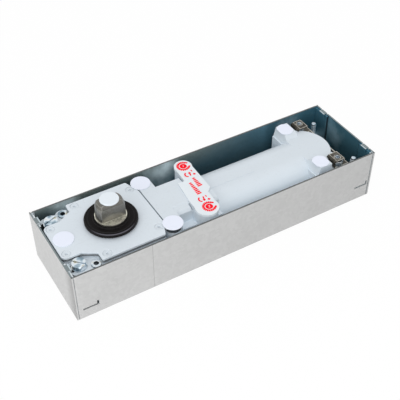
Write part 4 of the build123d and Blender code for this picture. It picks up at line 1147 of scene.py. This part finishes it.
class FinishInnerWorks(bpy.types.Operator):
    """Finishes for the pieces held inside the housing"""

    bl_idname = "floor_spring.finish_inner_works"
    bl_label = "Inner works"

    def execute(self, context):
        for material, nodes in (
            (turned_steel("Ground Steel", (0.44, 0.45, 0.46), box_centre("spindle_cap"), 2500.0, 0.22),
             ("cam", "cam_key", "cam_roller", "roller_pin", "inner_race", "outer_race", "bearing_balls", "check_ball",
              "check_ball_clip")),
            # The posts take painted shade, near black, in the clamping slots
            (plated_steel("Post Steel", (0.20, 0.20, 0.21), 0.38, shade_mask=slot_shade), ("clamp_posts",)),
            (plated_steel("Machined Iron", (0.25, 0.25, 0.26), 0.38), ("piston", "spring_seat", "end_plug")),
            (plated_steel("Sintered Bronze", (0.52, 0.33, 0.10), 0.36), ("lower_bearing_bush",)),
            (rubber("Ring Rubber", (0.014, 0.014, 0.015)), ("piston_seal", "end_plug_ring", "valve_rings")),
        ):
            for node in nodes:
                finish(frame["nodes"][node].data, material)
        steel = plated_steel("Oiled Spring Steel", (0.16, 0.16, 0.175), 0.30)
        wire = to_piece(merged_copy("closing_spring"), "coiled_spring", "closer", steel,
                        ("closing_spring",), weighted=False)
        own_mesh(wire)
        return {"FINISHED"}


def seen_directly(tree):
    """One where a ray shows a surface itself, its mirror image or its look through something clear."""
    shown = put(tree, "LightPath").outputs
    return most(tree, shown["Is Camera Ray"], shown["Is Glossy Ray"], shown["Is Transmission Ray"])


class MakeStage(bpy.types.Operator):
    """Pale floor, soft studio light and the camera"""

    bl_idname = "floor_spring.make_stage"
    bl_label = "Stage"

    def execute(self, context):
        settings = context.scene.floor_spring_stage
        middle = box_centre("cement_box")
        self.make_camera(settings, middle)
        self.make_floor(settings)
        for name, place, size, power in (
            ("Key", Vector((-0.5, -1.0, 1.5)), 1.4, settings.key),
            ("Fill", Vector((-1.6, -1.0, 0.7)), 1.0, settings.fill),
        ):
            lamp = bpy.data.lights.new(name, "AREA")
            lamp.shape = "SQUARE"
            lamp.size = size
            lamp.energy = power
            turn = (place - middle).to_track_quat("Z", "Y").to_matrix().to_4x4()
            add_object(name, lamp).matrix_world = Matrix.Translation(place) @ turn

        world = bpy.data.worlds.new("Studio")
        world.use_nodes = True
        context.scene.world = world
        tree = world.node_tree
        strength = plus(tree, times(tree, seen_directly(tree), 1.0 - settings.ambient), settings.ambient)
        fill(tree, tree.nodes["Background"].inputs["Strength"], strength)
        fill(tree, tree.nodes["Background"].inputs["Color"], WHITE)
        context.scene.view_settings.view_transform = "Standard"
        return {"FINISHED"}

    def make_camera(self, settings, middle):
        across, rise = settings.azimuth, settings.elevation
        right = Vector((math.cos(across), math.sin(across), 0))
        back = Vector((math.sin(across) * math.cos(rise), -math.cos(across) * math.cos(rise), math.sin(rise)))
        up = back.cross(right)
        data = bpy.data.cameras.new("Camera")
        data.lens = settings.lens
        data.sensor_width = 36.0
        data.clip_start = 0.01
        place = middle - right * settings.aim_right - up * settings.aim_up + back * settings.distance
        camera = add_object("Camera", data)
        camera.matrix_world = Matrix.Translation(place) @ Matrix((right, up, back)).transposed().to_4x4()
        bpy.context.scene.camera = camera

    def make_floor(self, settings):
        bm = bmesh.new()
        level = cad_box[0][2] - 0.02 * MM
        bmesh.ops.create_grid(bm, x_segments=2, y_segments=2, size=4.0, matrix=Matrix.Translation((0, 0, level)))
        floor = add_object("Floor", to_mesh(bm, "Floor"))
        material = bpy.data.materials.new("Pale Floor")
        material.use_nodes = True
        tree = material.node_tree
        tree.nodes.remove(tree.nodes["Principled BSDF"])
        diffuse = put(tree, "BsdfDiffuse", {"Color": settings.floor})
        glow = put(tree, "Emission", {"Color": WHITE, "Strength": 1.0})
        share = times(tree, seen_directly(tree), 0.94)
        mixed = put(tree, "MixShader", {0: share, 1: diffuse.outputs[0], 2: glow.outputs[0]})
        fill(tree, tree.nodes["Material Output"].inputs["Surface"], mixed.outputs[0])
        finish(floor.data, material)


class FloorSpringPanel(bpy.types.Panel):
    """Lists the pieces of the floor spring and their settings"""

    bl_idname = "VIEW3D_PT_floor_spring"
    bl_label = "Floor Spring"
    bl_space_type = "VIEW_3D"
    bl_region_type = "UI"
    bl_category = "Floor Spring"

    def draw(self, context):
        for key, settings, operator in STEPS:
            column = self.layout.box().column()
            for name in settings.__annotations__ if key else ():
                column.prop(getattr(context.scene, key), name)
            column.operator(operator.bl_idname)


STEPS = (
    ("floor_spring_box", BoxSettings, MakeBox),
    ("floor_spring_casting", CastingSettings, MakeCasting),
    ("", None, MakeCover),
    ("floor_spring_pads", PadSettings, MakePads),
    ("floor_spring_label", LabelSettings, MakeLabel),
    ("floor_spring_spindle", SpindleSettings, MakeSpindle),
    ("floor_spring_fasteners", FastenerSettings, MakeFasteners),
    ("floor_spring_bracket", BracketSettings, MakeBracket),
    ("", None, FinishInnerWorks),
    ("floor_spring_stage", StageSettings, MakeStage),
)


def register():
    for key, settings, operator in STEPS:
        if key:
            bpy.utils.register_class(settings)
            setattr(bpy.types.Scene, key, bpy.props.PointerProperty(type=settings))
        bpy.utils.register_class(operator)
    bpy.utils.register_class(FloorSpringPanel)


def unregister():
    bpy.utils.unregister_class(FloorSpringPanel)
    for key, settings, operator in reversed(STEPS):
        bpy.utils.unregister_class(operator)
        if key:
            delattr(bpy.types.Scene, key)
            bpy.utils.unregister_class(settings)


def main():
    register()
    for _, _, operator in STEPS:
        family, action = operator.bl_idname.split(".")
        getattr(getattr(bpy.ops, family), action)()


if __name__ == "__main__":
    main()
